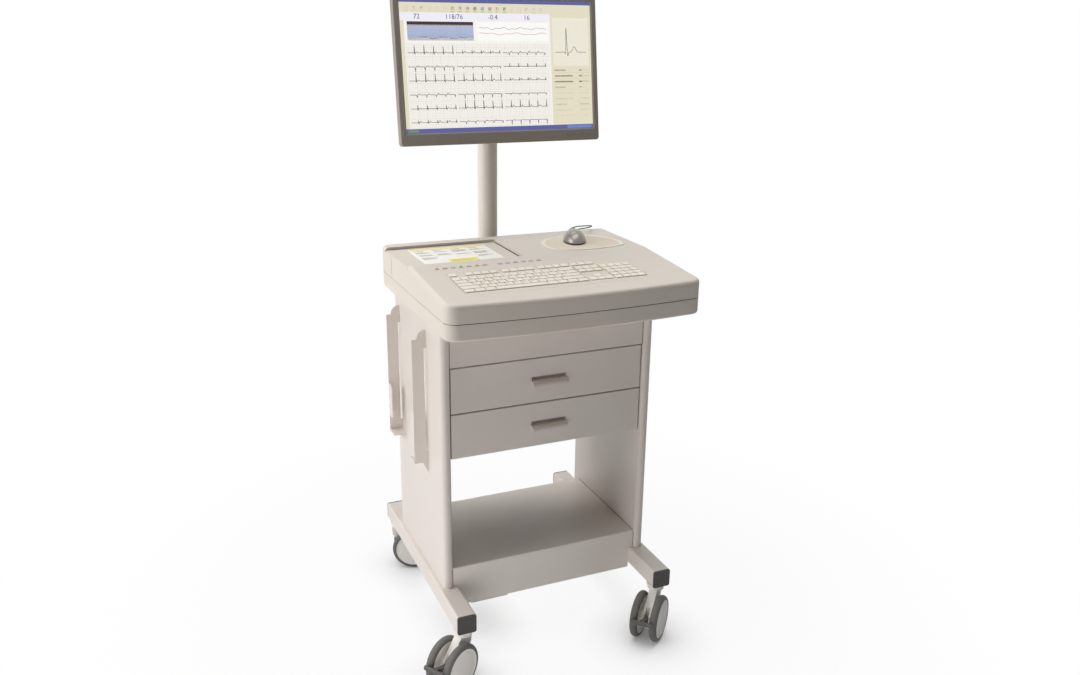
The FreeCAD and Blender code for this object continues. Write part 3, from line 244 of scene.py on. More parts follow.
def newGroup(name, inputs, outputs):
    group = bpy.data.node_groups.new(name, "ShaderNodeTree")
    for label, kind, value in inputs:
        socket = group.interface.new_socket(label, in_out="INPUT", socket_type="NodeSocket" + kind)
        socket.default_value = value
    for label, kind in outputs:
        group.interface.new_socket(label, in_out="OUTPUT", socket_type="NodeSocket" + kind)
    return group, group.nodes.new("NodeGroupInput").outputs, group.nodes.new("NodeGroupOutput")


# colour, roughness and height of a moulded or painted skin: fine grain over slow patches
def makeSkinGroup():
    facts = dict(middle=0.5, gain=2.0, roughSpread=0.16)
    inputs = [("Colour", "Color", (0.8, 0.8, 0.8, 1)), ("Roughness", "Float", 0.5), ("Grain", "Float", 900.0),
              ("Patch", "Float", 7.0), ("Mottle", "Float", 0.04)]
    outputs = [("Colour", "Color"), ("Roughness", "Float"), ("Height", "Float")]
    group, given, out = newGroup("skin", inputs, outputs)
    place = objectPlace(group)
    grain = noiseOf(group, place, given["Grain"], Detail=3.0, Roughness=0.6)
    patch = noiseOf(group, place, given["Patch"], Detail=4.0, Roughness=0.55)
    centred = calc(group, "SUBTRACT", patch, facts["middle"])
    amount = calc(group, "MULTIPLY", centred, given["Mottle"])
    value = calc(group, "MULTIPLY_ADD", amount, facts["gain"], 1.0)
    shade = put(group, "ShaderNodeHueSaturation", {"Value": value, "Color": given["Colour"]})
    rough = calc(group, "MULTIPLY_ADD", centred, facts["roughSpread"], given["Roughness"])
    feed(group, out, {"Colour": shade.outputs["Color"], "Roughness": rough, "Height": grain})
    return group


# mask of fine handling marks: noise drawn out along one direction and cut at a threshold
def makeScuffGroup():
    facts = dict(start=0.62, full=0.74)
    inputs = [("Stretch", "Vector", (30.0, 240.0, 240.0)), ("Amount", "Float", 0.2)]
    group, given, out = newGroup("scuffs", inputs, [("Mask", "Float")])
    drawn = put(group, "ShaderNodeVectorMath", {0: objectPlace(group), 1: given["Stretch"]}, operation="MULTIPLY")
    noise = noiseOf(group, drawn.outputs[0], 1.0, Detail=2.0)
    cut = ramp(group, noise, facts["start"], facts["full"])
    feed(group, out, {"Mask": calc(group, "MULTIPLY", cut, given["Amount"])})
    return group


# mask of dust on upward faces: the normal's upward share times broken noise
def makeDustGroup():
    facts = dict(leastUp=0.5)
    inputs = [("Scale", "Float", 40.0), ("Amount", "Float", 0.1)]
    group, given, out = newGroup("settledDust", inputs, [("Mask", "Float")])
    surface = put(group, "ShaderNodeNewGeometry")
    split = put(group, "ShaderNodeSeparateXYZ", {0: surface.outputs["Normal"]})
    lifted = ramp(group, split.outputs["Z"], facts["leastUp"])
    noise = noiseOf(group, objectPlace(group), given["Scale"], Detail=5.0)
    broken = calc(group, "MULTIPLY", lifted, noise)
    feed(group, out, {"Mask": calc(group, "MULTIPLY", broken, given["Amount"])})
    return group


skinGroup = makeSkinGroup()
scuffGroup = makeScuffGroup()
dustGroup = makeDustGroup()


def newMaterial(name):
    material = bpy.data.materials.new(name)
    material.use_nodes = True
    tree = material.node_tree
    return material, tree, tree.nodes["Principled BSDF"]


def useGroup(tree, group, **inputs):
    return feed(tree, put(tree, "ShaderNodeGroup", node_tree=group), inputs).outputs


def skinOf(tree, colour, roughness, grain, patch, mottle):
    return useGroup(tree, skinGroup, Colour=colour, Roughness=roughness, Grain=grain, Patch=patch, Mottle=mottle)


# one finish: skin colour and grain, scuffs that lighten, dust that dulls, and the grain as bump
def finishOf(name, colour, roughness, grain, depth, mottle, scuff, dust, patch=7.0, metallic=0.0, coat=0.0,
             stretch=(30.0, 240.0, 240.0)):
    facts = dict(worn=(0.78, 0.76, 0.73, 1), settled=(0.62, 0.60, 0.57, 1), bump=0.25)
    material, tree, shader = newMaterial(name)
    skin = skinOf(tree, tint(colour), roughness, grain, patch, mottle)
    marks = useGroup(tree, scuffGroup, Stretch=stretch, Amount=scuff)
    dusty = useGroup(tree, dustGroup, Amount=dust)
    scuffed = blend(tree, marks["Mask"], skin["Colour"], facts["worn"])
    dulled = blend(tree, dusty["Mask"], scuffed, facts["settled"])
    feed(tree, shader, {"Base Color": dulled, "Roughness": skin["Roughness"], "Metallic": metallic,
                        "Coat Weight": coat})
    addBump(tree, shader, skin["Height"], facts["bump"], depth)
    return material


# in turn: colour, roughness, grain per metre, bump depth in millimetres, mottle, scuffs, dust
creamPaint = finishOf("creamPaint", "#E4DBD3", 0.42, 700.0, 0.08, 0.03, 0.10, 0.06)
creamPlastic = finishOf("creamPlastic", "#E2D9CD", 0.52, 1600.0, 0.10, 0.03, 0.08, 0.06)
castorCream = finishOf("castorCream", "#F5F1EA", 0.50, 1400.0, 0.10, 0.05, 0.14, 0.12)
# the cream paint made lighter for the pole and the shelf: painted light where they need more light than the lamps
# give
litCreamPaint = finishOf("litCreamPaint", "#F6EEE5", 0.40, 800.0, 0.06, 0.03, 0.08, 0.04)
capPlastic = finishOf("capPlastic", "#3B3836", 0.55, 1300.0, 0.14, 0.10, 0.06, 0.10)
tyreRubber = finishOf("tyreRubber", "#64625F", 0.68, 1100.0, 0.16, 0.14, 0.10, 0.18, patch=22.0)
pedalPlastic = finishOf("pedalPlastic", "#55534F", 0.60, 1300.0, 0.16, 0.10, 0.12, 0.12)
bezelPlastic = finishOf("bezelPlastic", "#988F85", 0.48, 1900.0, 0.08, 0.05, 0.05, 0.05)
backPlastic = finishOf("backPlastic", "#5E5A56", 0.58, 1500.0, 0.14, 0.06, 0.06, 0.10)
silverPlastic = finishOf("silverPlastic", "#8C8680", 0.34, 2600.0, 0.02, 0.04, 0.06, 0.02, metallic=0.55, coat=0.3)
inkPlastic = finishOf("inkPlastic", "#2C2B2B", 0.50, 1500.0, 0.10, 0.08, 0.04, 0.04)
zincSteel = finishOf("zincSteel", "#A9A9A6", 0.38, 500.0, 0.03, 0.12, 0.25, 0.08, patch=16.0, metallic=0.9,
                     stretch=(18.0, 600.0, 600.0))
sheetMetal = finishOf("sheetMetal", "#B4B4B1", 0.34, 600.0, 0.03, 0.08, 0.2, 0.04, patch=12.0, metallic=0.9,
                      stretch=(600.0, 18.0, 600.0))
casePaint = finishOf("casePaint", "#D8D1C7", 0.55, 700.0, 0.12, 0.06, 0.10, 0.10)
rollerRubber = finishOf("rollerRubber", "#2B2A29", 0.74, 1500.0, 0.10, 0.10, 0.05, 0.10)
# near-black for painted shade: the strips in the console seam, the drawer gaps and the panel joints
paintedShadeBlack = finishOf("paintedShadeBlack", "#141312", 0.85, 1500.0, 0.06, 0.08, 0.02, 0.01)
boardGreen = finishOf("boardGreen", "#2F5A41", 0.40, 600.0, 0.05, 0.20, 0.04, 0.06, patch=60.0)
cordJacket = finishOf("cordJacket", "#54565A", 0.50, 2200.0, 0.04, 0.06, 0.05, 0.04)

# the console's sloping front and the leaning monitor, in millimetres
slope = dict(turn=math.radians(4.58), y=-64.0, z=936.0)
monitor = dict(lean=math.radians(7.6), y=117.5, z=1174.0)


# key tops lie above the foil: the distance from the slope's plane picks the lighter of two creams
def makeFoil():
    facts = dict(foil="#CBBEAB", keys="#F7F0E3", lift=0.5 * mm, blur=0.3 * mm, bump=0.2, depth=0.05)
    material, tree, shader = newMaterial("keyFoil")
    normal = (0.0, -math.sin(slope["turn"]), math.cos(slope["turn"]))
    crest = (0.0, slope["y"] * mm, slope["z"] * mm)
    height = put(tree, "ShaderNodeVectorMath", {0: objectPlace(tree), 1: normal}, operation="DOT_PRODUCT")
    level = sum(a * b for a, b in zip(normal, crest)) + facts["lift"]
    above = ramp(tree, height.outputs["Value"], level - facts["blur"], level + facts["blur"])
    skin = skinOf(tree, tint(facts["foil"]), 0.45, 1500.0, 12.0, 0.04)
    keys = skinOf(tree, tint(facts["keys"]), 0.42, 1500.0, 30.0, 0.06)
    colour = blend(tree, above, skin["Colour"], keys["Colour"])
    feed(tree, shader, {"Base Color": colour, "Roughness": keys["Roughness"]})
    addBump(tree, shader, keys["Height"], facts["bump"], facts["depth"])
    return material


# stacked sheets: fine level lines on the edges of the pack
def makePaper():
    facts = dict(sheet="#ECE8DE", lines=320.0, waver=1.2, dark=0.22, bump=0.3, depth=0.1)
    material, tree, shader = newMaterial("paperStack")
    inputs = {"Vector": objectPlace(tree), "Scale": facts["lines"], "Distortion": facts["waver"], "Detail": 2.0}
    wave = put(tree, "ShaderNodeTexWave", inputs, bands_direction="Z")
    skin = skinOf(tree, tint(facts["sheet"]), 0.8, 1200.0, 10.0, 0.04)
    colour = blend(tree, facts["dark"], skin["Colour"], wave.outputs["Color"], blend_type="MULTIPLY")
    feed(tree, shader, {"Base Color": colour, "Roughness": skin["Roughness"]})
    addBump(tree, shader, wave.outputs["Fac"], facts["bump"], facts["depth"])
    return material


# printed colours kept in the ink attribute, with a little paper grain; a glowing print shows on black glass; a
# print on paper can get a faint painted glow, painted light that lifts it above how it is lit
def makePrint(name, roughness, glow=0.0, paintedGlow=0.0):
    facts = dict(grain=260.0, fade=(0.94, 1.04), glass=(0.015, 0.015, 0.017, 1), shine=0.25)
    material, tree, shader = newMaterial(name)
    ink = put(tree, "ShaderNodeAttribute", attribute_name="ink")
    noise = noiseOf(tree, objectPlace(tree), facts["grain"], Detail=3.0)
    fade = ramp(tree, noise, 0.0, 1.0, *facts["fade"])
    shade = put(tree, "ShaderNodeHueSaturation", {"Value": fade, "Color": ink.outputs["Color"]}).outputs["Color"]
    feed(tree, shader, {"Roughness": roughness, "Emission Color": shade, "Emission Strength": glow or paintedGlow,
                        "Base Color": facts["glass"] if glow else shade})
    if glow:
        feed(tree, shader, {"Specular IOR Level": facts["shine"]})
    return material


# the pad's raised rim is paler than its felt: the height above the console picks the colour
def makePad():
    facts = dict(felt="#EFE4D2", rim="#FBF4E4", level=936.9 * mm, blur=0.1 * mm, bump=0.3, depth=0.08)
    material, tree, shader = newMaterial("padFelt")
    split = put(tree, "ShaderNodeSeparateXYZ", {0: objectPlace(tree)})
    above = ramp(tree, split.outputs["Z"], facts["level"] - facts["blur"], facts["level"] + facts["blur"])
    felt = skinOf(tree, tint(facts["felt"]), 0.85, 2400.0, 20.0, 0.06)
    rim = skinOf(tree, tint(facts["rim"]), 0.5, 1500.0, 12.0, 0.03)
    colour = blend(tree, above, felt["Colour"], rim["Colour"])
    feed(tree, shader, {"Base Color": colour, "Roughness": felt["Roughness"]})
    addBump(tree, shader, felt["Height"], facts["bump"], facts["depth"])
    return material


keyFoil = makeFoil()
padFelt = makePad()
paperStack = makePaper()
# the card and pad prints glow faintly: painted light on the paper
cardInk = makePrint("cardInk", 0.6, paintedGlow=0.04)
keyInk = makePrint("keyInk", 0.55)
screenInk = makePrint("screenInk", 0.22, glow=0.98)


def startingWith(beginning):
    return tuple(name for name in nodes if name.startswith(beginning))


finishes = {
    creamPaint: ("foot_tube_left", "foot_tube_right", "side_panel_left", "side_panel_right", "fascia_panel",
                 "back_panel", "drawer_front_lower", "drawer_front_upper", "pole_bracket", "side_holder"),
    litCreamPaint: ("pole", "bottom_shelf"),
    creamPlastic: ("console_lower_shell", "console_upper_shell", "printer_lid", "function_keys"),
    padFelt: ("mouse_pad",),
    zincSteel: ("drawer_box_lower", "drawer_box_upper", "drawer_runners", "castor_stems", "printer_chassis"),
    sheetMetal: ("power_supply", "connector_plate"),
    casePaint: ("transformer_case",),
    capPlastic: ("foot_end_caps", "tilt_plate", "monitor_neck"),
    keyFoil: ("keyboard_foil",),
    silverPlastic: ("mouse_shell", "mouse_left_button", "mouse_right_button"),
    inkPlastic: ("mouse_base", "mouse_wheel", "mouse_plug", "display_panel"),
    cordJacket: ("mouse_cord",),
    rollerRubber: ("platen_roller",),
    paperStack: ("paper_pack",),
    boardGreen: ("mainboard",),
    bezelPlastic: ("monitor_frame", *startingWith("monitor_button")),
    backPlastic: ("monitor_cover",),
    castorCream: startingWith("castor_fork"),
    pedalPlastic: startingWith("brake_pedal"),
    tyreRubber: startingWith("castor_wheel"),
}
for material, names in finishes.items():
    for name in names:
        nodes[name].data.materials.clear()
        nodes[name].data.materials.append(material)
print("finishes given to", sum(len(names) for names in finishes.values()), "nodes")


# moulded castor forks and pedals: their sharp edges are rounded over
for material, radius in ((castorCream, 4.0), (pedalPlastic, 2.5)):
    for name in finishes[material]:
        edge = nodes[name].modifiers.new("rounded", "BEVEL")
        edge.width = radius * mm
        edge.segments = 3
        edge.limit_method = "ANGLE"
        edge.angle_limit = math.radians(40)


# the camera stands where the photograph was taken: a place, two angles and a small roll, for a 1080 x 675 picture
def addCamera():
    facts = dict(place=(-878.8, -2102.7, 1457.9), yaw=23.8, pitch=-18.0, roll=0.8, focal=978.8, wide=1080,
                 sensor=36.0, sight=60)
    yaw, pitch, roll = (math.radians(facts[key]) for key in ("yaw", "pitch", "roll"))
    ahead = Vector((math.sin(yaw) * math.cos(pitch), math.cos(yaw) * math.cos(pitch), math.sin(pitch)))
    level = Vector((math.cos(yaw), -math.sin(yaw), 0))
    upright = level.cross(ahead)
    right = level * math.cos(roll) + upright * math.sin(roll)
    up = upright * math.cos(roll) - level * math.sin(roll)
    data = bpy.data.cameras.new("camera")
    data.sensor_fit = "HORIZONTAL"
    data.sensor_width = facts["sensor"]
    data.lens = facts["focal"] / facts["wide"] * facts["sensor"]
    data.clip_end = facts["sight"]
    camera = bpy.data.objects.new("camera", data)
    turn = Matrix((right, up, -ahead)).transposed().to_4x4()
    camera.matrix_world = Matrix.Translation(Vector(facts["place"]) * mm) @ turn
    bpy.context.scene.collection.objects.link(camera)
    bpy.context.scene.camera = camera


addCamera()
print("camera placed")


# the mouse's lead: one smooth line from the nose over the console's rear edge to its plug
def addMouseCord():
    facts = dict(diameter=3.0, route=(
        (176.2, 94.9, 940.0), (182.6, 112.0, 943.0), (203.0, 121.0, 948.5), (226.0, 118.0, 950.0),
        (247.0, 130.0, 950.0), (261.0, 156.0, 947.0), (244.0, 174.0, 943.5), (226.0, 190.0, 940.0),
        (214.0, 208.0, 925.0), (204.0, 214.0, 895.0), (198.0, 216.0, 868.0), (198.0, 208.0, 856.0),
        (198.0, 195.0, 856.0),
    ))
    data = bpy.data.curves.new("mouseLead", "CURVE")
    data.dimensions = "3D"
    line = data.splines.new("NURBS")
    route = np.array(facts["route"]) * mm
    line.points.add(len(route) - 1)
    line.points.foreach_set("co", np.c_[route, np.ones(len(route))].ravel())
    line.order_u = 3
    line.use_endpoint_u = True
    line.resolution_u = 10
    data.bevel_depth = facts["diameter"] / 2 * mm
    data.bevel_resolution = 4
    data.materials.append(cordJacket)
    lead = bpy.data.objects.new("mouseLead", data)
    bpy.context.scene.collection.objects.link(lead)
    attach(lead, "trolley")
    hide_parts("mouse_cord")


addMouseCord()
print("mouse lead laid")


# a tyre with round shoulders on a dished disc, turned round each wheel's own joint axis; the disc's front and rear
# are rows of (share of the seat radius, step outwards, step along the axis)
def addWheels():
    facts = dict(
        radius=57.0, inner=15.25, width=19.0, tyre=9.5, hub=15.0, dish=1.4, boss=10.5, pin=5.1, shoulder=0.75,
        root=1.0, inset=1.2, sunk=2.5, web=5.0, taper=1.5,
        front=((0.0, 0.0, 0.9), (0.55, 0.0, 0.7), (1.0, -5.0, 0.0), (1.0, -3.4, 0.9), (1.0, -1.2, 1.0),
               (1.0, 0.2, 0.0)),
        rear=((1.0, 0.2, 1.2), (1.0, -2.0, 0.9), (1.0, -4.0, 4.5)),
    )
    radius, inner, width, tyre, hub, boss, pin = (
        facts[key] for key in ("radius", "inner", "width", "tyre", "hub", "boss", "pin"))
    outer = inner + width
    seat = radius - tyre
    middle = inner + width / 2
    turn = np.linspace(0, np.pi, 17)
    crown = np.stack([seat + tyre * np.sin(turn) ** facts["shoulder"], middle - width / 2 * np.cos(turn)], axis=1)
    root = seat - facts["root"]
    section = np.concatenate([crown, [(root, outer - facts["inset"]), (root, inner + facts["inset"])]])
    face = outer - facts["dish"]
    floor = face - facts["sunk"]
    plate = [(share * seat + out, base + along) for base, rows in ((face, facts["front"]), (inner, facts["rear"]))
             for share, out, along in rows]
    plate += [(hub + facts["web"], inner + facts["web"]), (hub, inner), (hub - facts["taper"], boss), (pin, boss),
              (pin, floor), (0.0, floor)]
    kinds = (("tyre", section, True, tyreRubber), ("disc", np.array(plate), False, castorCream))
    wheels = [body for body in joints if body.startswith("wheel_")]
    for body in wheels:
        joint = joints[body]
        axis = np.array(joint["axis"]) * (1 if body.endswith("left") else -1)
        for kind, profile, closed, material in kinds:
            mesh = latheMesh(f"{kind}.{body}", profile * mm, joint["pos_m"], axis, closed=closed)
            piece = addPiece(f"{kind}.{body}", mesh, body, material, sharp=28)
            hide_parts("castor_" + body)
    print("wheel pieces:", len(wheels) * len(kinds))


addWheels()


# closed cup in each drawer's pull slot: a rectangle drawn back from the slot, with a floor and a wall all round
def addPullCups():
    facts = dict(half=44.9, rise=52.85, high=11.8, depth=11.0, wall=1.0, front=-167.2)
    half, wall, front, up = facts["half"], facts["wall"], facts["front"], facts["high"] / 2
    back = front + facts["depth"]
    rows = ((0, 0, back), (half, up, back), (half, up, front), (half - wall, up - wall, front),
            (half - wall, up - wall, back - wall), (0, 0, back - wall))
    for drawer in ("lower", "upper"):
        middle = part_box("drawer_front_" + drawer)[0].z / mm + facts["rise"] + up
        stations = [[(side * x, y, middle + end * z) for side, end in ((-1, -1), (1, -1), (1, 1), (-1, 1))]
                    for x, z, y in rows]
        mesh = gridMesh("pullCup." + drawer, np.array(stations) * mm, closedV=True)
        addPiece("pullCup." + drawer, mesh, "drawer_" + drawer, creamPaint)


addPullCups()
print("pull cups set")


# painted shade in the front of the console's parting line: a thin near-black rectangle, standing for the shaded
# gap, swept along the outline at the upper shell's lower edge
def addSeamShade():
    facts = dict(level=875.0, near=0.05, least=0.01, low=873.8, high=874.8, inward=0.5, outward=0.06, rear=-303.0)
    verts = np.array([v.co for v in nodes["console_upper_shell"].data.vertices]) / mm
    edge = verts[np.abs(verts[:, 2] - facts["level"]) < facts["near"]][:, :2]
    line = edge[convex_hull_2d([Vector(point) for point in edge])]
    run = np.roll(line, -1, axis=0) - line
    line = line[np.linalg.norm(run, axis=1) > facts["least"]]
    line = np.roll(line, -int(np.argmax(line[:, 1])), axis=0)
    run = np.roll(line, -1, axis=0) - np.roll(line, 1, axis=0)
    run /= np.linalg.norm(run, axis=1, keepdims=True)
    out = np.stack([run[:, 1], -run[:, 0]], axis=1)
    out *= np.sign((out * (line - line.mean(axis=0))).sum(axis=1, keepdims=True))
    front = line[:, 1] < facts["rear"]
    line, out = line[front], out[front]
    inward, outward, low, high = (facts[key] for key in ("inward", "outward", "low", "high"))
    rings = [np.c_[line + out * shift, np.full(len(line), z)]
             for shift, z in ((-inward, low), (outward, low), (outward, high), (-inward, high))]
    addPiece("seamShade", stripMesh("seamShade", np.stack(rings, axis=1)), "trolley", paintedShadeBlack)
    print("gasket points:", len(line))


addSeamShade()


# a node's box in millimetres
def boxOf(name):
    return (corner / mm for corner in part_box(name))


# painted shade in the gaps round the drawer fronts, a dark rectangle swept up, across and down, and straight dark
# beads of painted shade where fascia and shelf meet the side panels
def addGapShades():
    facts = dict(near=-163.0, far=-152.0, clear=0.02, wide=1.9, foot=1.0, shadeBead=0.9, proud=0.5, bend=3.0)
    near, far, clear, proud, bend = (facts[key] for key in ("near", "far", "clear", "proud", "bend"))
    for drawer in ("lower", "upper"):
        low, high = boxOf("drawer_front_" + drawer)
        base, rings = low.z + facts["foot"], []
        for side, atTop in ((-1, False), (-1, True), (1, True), (1, False)):
            inner, outer = ((side * (high.x + shift), high.z + shift if atTop else base)
                            for shift in (clear, facts["wide"]))
            rings.append([(x, y, z) for (x, z), y in ((inner, near), (outer, near), (outer, far), (inner, far))])
        mesh = stripMesh("gapShade." + drawer, np.array(rings))
        addPiece("gapShade." + drawer, mesh, "drawer_" + drawer, paintedShadeBlack)
    low, high = boxOf("fascia_panel")
    shelfLow, shelfHigh = boxOf("bottom_shelf")
    panelLow = next(boxOf("side_panel_left"))
    places = dict(
        fascia=((low.y - proud, low.y - clear), (low.z + clear, high.z - clear)),
        apron=((shelfLow.y - proud, shelfLow.y - clear), (panelLow.z + bend, shelfHigh.z - bend)),
        shelf=((shelfLow.y + bend, shelfHigh.y - clear), (shelfHigh.z + clear, shelfHigh.z + proud)),
    )
    outer = high.x - clear
    inner = outer - facts["shadeBead"]
    for place, ((front, back), ends) in places.items():
        for name, side in (("left", -1), ("right", 1)):
            corners = ((inner, front), (outer, front), (outer, back), (inner, back))
            rings = np.array([[(side * x, y, z) for x, y in corners] for z in ends])
            shadeBead = "bead." + place + "." + name
            addPiece(shadeBead, stripMesh(shadeBead, rings), "trolley", paintedShadeBlack)


addGapShades()
print("gapShade set")


# places on the console's sloping front, in millimetres across and down the slope: a turn about the crest line
def onSlope(points, lift):
    turn = slope["turn"]
    x, down = points[:, 0], points[:, 1]
    y = slope["y"] + down * math.cos(turn) - lift * math.sin(turn)
    z = slope["z"] + down * math.sin(turn) + lift * math.cos(turn)
    return np.stack([x, y, z], axis=1) * mm


# places on a level face, in millimetres across and back
def onLevel(points, z):
    return np.c_[points, np.full(len(points), z)] * mm


def onLid(points, lift):
    return onLevel(points, 930.0 + lift)


def onPad(points, lift):
    return onLevel(points, 936.5 + lift)


# places on the leaning monitor, in millimetres back and up from its pivot: a turn about the pivot's axis
def leaning(y, z):
    turn = monitor["lean"]
    return (monitor["y"] + y * math.cos(turn) + z * math.sin(turn),
            monitor["z"] - y * math.sin(turn) + z * math.cos(turn))


# places on the screen's front, in millimetres from its lower left corner
def onScreen(points, lift):
    facts = dict(half=240.0, low=29.0, face=3.0)
    y, z = leaning(facts["face"] - lift, points[:, 1] + facts["low"])
    return np.stack([points[:, 0] - facts["half"], y, z], axis=1) * mm


# letters and digits as flat outlines: the built-in font's triangles, scaled to the wanted height
def glyphTriangles(text, height, u, w, capital=0.7):
    data = bpy.data.curves.new("glyphs", "FONT")
    data.body = text
    data.size = 1.0
    data.align_x = "CENTER"
    data.resolution_u = 2
    holder = bpy.data.objects.new("glyphs", data)
    mesh = bpy.data.meshes.new_from_object(holder)
    verts = np.array([v.co for v in mesh.vertices])[:, :2]
    faces = [list(face.vertices) for face in mesh.polygons]
    bpy.data.objects.remove(holder)
    bpy.data.curves.remove(data)
    bpy.data.meshes.remove(mesh)
    scaled = verts * height / capital + np.array((u, w))
    return [scaled[face] for face in faces]


# keyboard: legends on the key tops, thin printed lines round the key blocks and a pale frame between them; places
# across are in key pitches
def addKeyboardPrint():
    facts = dict(
        left=-236.0, rear=-77.0, pitch=19.0, rowGap=8.0, top=1.6, cap=3.8, rise=9.5, ink="#8A7C6C",
        legends=(("1234567890-=", 1.36, 2), ("QWERTYUIOP[]", 1.86, 3), ("ASDFGHJKL;'", 2.11, 4),
                 ("ZXCVBNM,./", 2.61, 5), ("789", 18.9, 3), ("456", 18.9, 4), ("123", 18.9, 5)),
        margin=1.0, line="#8C7D6C", lineWidth=0.9, edge="#594D42", edgeWidth=1.4,
        topRuns=((0, 1), (2, 6), (6.5, 10.5), (11, 15), (15.25, 18.25)),
        border="#E4DACB", ends=(-0.36, 22.86), foil=(-70.3, -216.7), lap=0.6, topLap=0.4,
        topGaps=((-0.36, -0.04), (1.04, 1.96), (6.04, 6.46), (10.54, 10.96), (15.04, 15.21), (18.29, 22.86)),
        rowGaps=((-0.36, -0.04), (15.04, 15.21), (18.29, 18.46), (22.54, 22.86)),
        arrows=(15.21, 18.29), arrowGaps=((15.21, 16.21), (17.29, 18.29)),
    )
    left, rear, pitch, margin, lap = (facts[key] for key in ("left", "rear", "pitch", "margin", "lap"))
    shapes = []
    for keys, start, row in facts["legends"]:
        w = rear - row * pitch - facts["rowGap"] + facts["rise"]
        for step, key in enumerate(keys):
            parts = glyphTriangles(key, facts["cap"], left + (start + step) * pitch, w)
            shapes += [(part, facts["ink"]) for part in parts]
    addPrint("keyLegends", shapes, onSlope, "trolley", keyInk, lift=facts["top"] + 0.04, thickness=0.05)
    first = rear - pitch - facts["rowGap"]
    last = rear - 6 * pitch - facts["rowGap"]
    lines = []
    for a, b, low in ((0, 15, last), (15.25, 18.25, first - 2 * pitch), (18.5, 22.5, last)):
        u0, w0, u1, w1 = left + a * pitch - margin, low - margin, left + b * pitch + margin, first + margin
        for ends in (((u0, w0), (u0, w1)), ((u0, w1), (u1, w1)), ((u0, w0), (u1, w0)), ((u1, w0), (u1, w1))):
            lines += strip(ends, facts["lineWidth"], facts["line"])
    topEdge = rear + margin
    for a, b in facts["topRuns"]:
        run = ((left + a * pitch, topEdge), (left + b * pitch, topEdge))
        lines += strip(run, facts["edgeWidth"], facts["edge"])
    addPrint("keyBlockLines", lines, onSlope, "trolley", keyInk, lift=0.09)
    ends, (foilRear, foilFront) = facts["ends"], facts["foil"]
    topRow = (rear + facts["topLap"], rear - pitch - lap)
    rows = (first + lap, last - lap)
    arrowTop, arrowLow = first - 3 * pitch + lap, first - 4 * pitch + lap
    bare = [(*ends, foilRear, topRow[0]), (*ends, topRow[1], rows[0]), (*ends, rows[1], foilFront)]
    bare += [(*gap, *topRow) for gap in facts["topGaps"]]
    bare += [(*gap, *rows) for gap in facts["rowGaps"]]
    bare.append((*facts["arrows"], first - 2 * pitch - lap, arrowTop))
    bare += [(*gap, arrowTop, arrowLow) for gap in facts["arrowGaps"]]
    frames = [(bar(left + a * pitch, w1, left + b * pitch, w0), facts["border"]) for a, b, w0, w1 in bare]
    addPrint("keyBlockFrame", frames, onSlope, "trolley", keyInk, lift=0.05)
    print("keyboard print:", len(shapes), "glyph faces,", len(lines), "lines")


addKeyboardPrint()


# round or barred colour marks on the function keys, one small sign each
def addFunctionMarks():
    facts = dict(groups=((-245.0, 18.6, 7), (-96.5, 18.9, 6)), down=-35.0, top=1.4, round=(0, 3, 5), radius=3.3,
                 half=4.2, upper=(0.5, 2.2), lower=(-2.2, -0.7), short=-1.6, grow=0.3, dot=(2.9, -1.3, 1.3, 14),
                 first=("#D8431F", "#6C7C8C", "#4F94DB", "#3A8A2B", "#4F94DB", "#E0521F", "#4F94DB"),
                 rest="#4690DC")
    w, half, (dotU, dotW, *dot) = facts["down"], facts["half"], facts["dot"]
    (upperLow, upperHigh), (lowerLow, lowerHigh) = facts["upper"], facts["lower"]
    shapes = []
    for group, (start, pitch, count) in enumerate(facts["groups"]):
        for step in range(count):
            u = start + step * pitch
            colour = facts["first"][step] if group == 0 else facts["rest"]
            if group == 0 and step in facts["round"]:
                shapes.append((disc(u, w, facts["radius"]), colour))
                continue
            end = u + facts["short"] + facts["grow"] * step
            shapes.append((bar(u - half, w + upperLow, u + half, w + upperHigh), colour))
            shapes.append((bar(u - half, w + lowerLow, end, w + lowerHigh), colour))
            shapes.append((disc(u + dotU, w + dotW, *dot), colour))
    addPrint("functionMarks", shapes, onSlope, "trolley", keyInk, lift=facts["top"] + 0.04)
    print("function marks:", len(shapes))


addFunctionMarks()


# pale border and soft bands on the mouse pad: both follow the pad's outline, two circles drawn in by the inset
def addPadPrint():
    facts = dict(middle=165.5, rear=(15.02, 101.98), front=(158.84, 209.84), border=(3.3, 9.0), pale="#FFFAEC",
                 bands=((14.0, 17.5, "#F3D3B4"), (20.0, 22.0, "#F0C4B0"), (24.5, 25.7, "#F3D9BE")), reach=0.62,
                 rearSteps=96, frontSteps=48)
    (rearY, rearR), (frontY, frontR) = facts["rear"], facts["front"]

    def arc(y, radius, angle):
        return np.stack([facts["middle"] + radius * np.cos(angle), y + radius * np.sin(angle)], axis=1)

    def outline(inset):
        r, q = rearR - inset, frontR - inset
        y = (r * r - q * q + frontY ** 2 - rearY ** 2) / (2 * (frontY - rearY))
        half = math.sqrt(r * r - (y - rearY) ** 2)
        a = math.atan2(y - rearY, half)
        b = math.atan2(half, frontY - y)
        over = np.linspace(a, math.pi - a, facts["rearSteps"])
        under = np.linspace(-math.pi / 2 - b, -math.pi / 2 + b, facts["frontSteps"])
        return arc(rearY, r, over), arc(frontY, q, under)

    outer, inner = (outline(inset) for inset in facts["border"])
    shapes = ribbon(outer[0], inner[0], facts["pale"]) + ribbon(outer[1], inner[1], facts["pale"])
    skip = int(facts["frontSteps"] * facts["reach"])
    for start, end, colour in facts["bands"]:
        shapes += ribbon(outline(start)[1][skip:-2], outline(end)[1][skip:-2], colour)
    addPrint("padPrint", shapes, onPad, "trolley", cardInk, lift=0.06, thickness=0.05)
    print("pad print:", len(shapes), "quads")


addPadPrint()
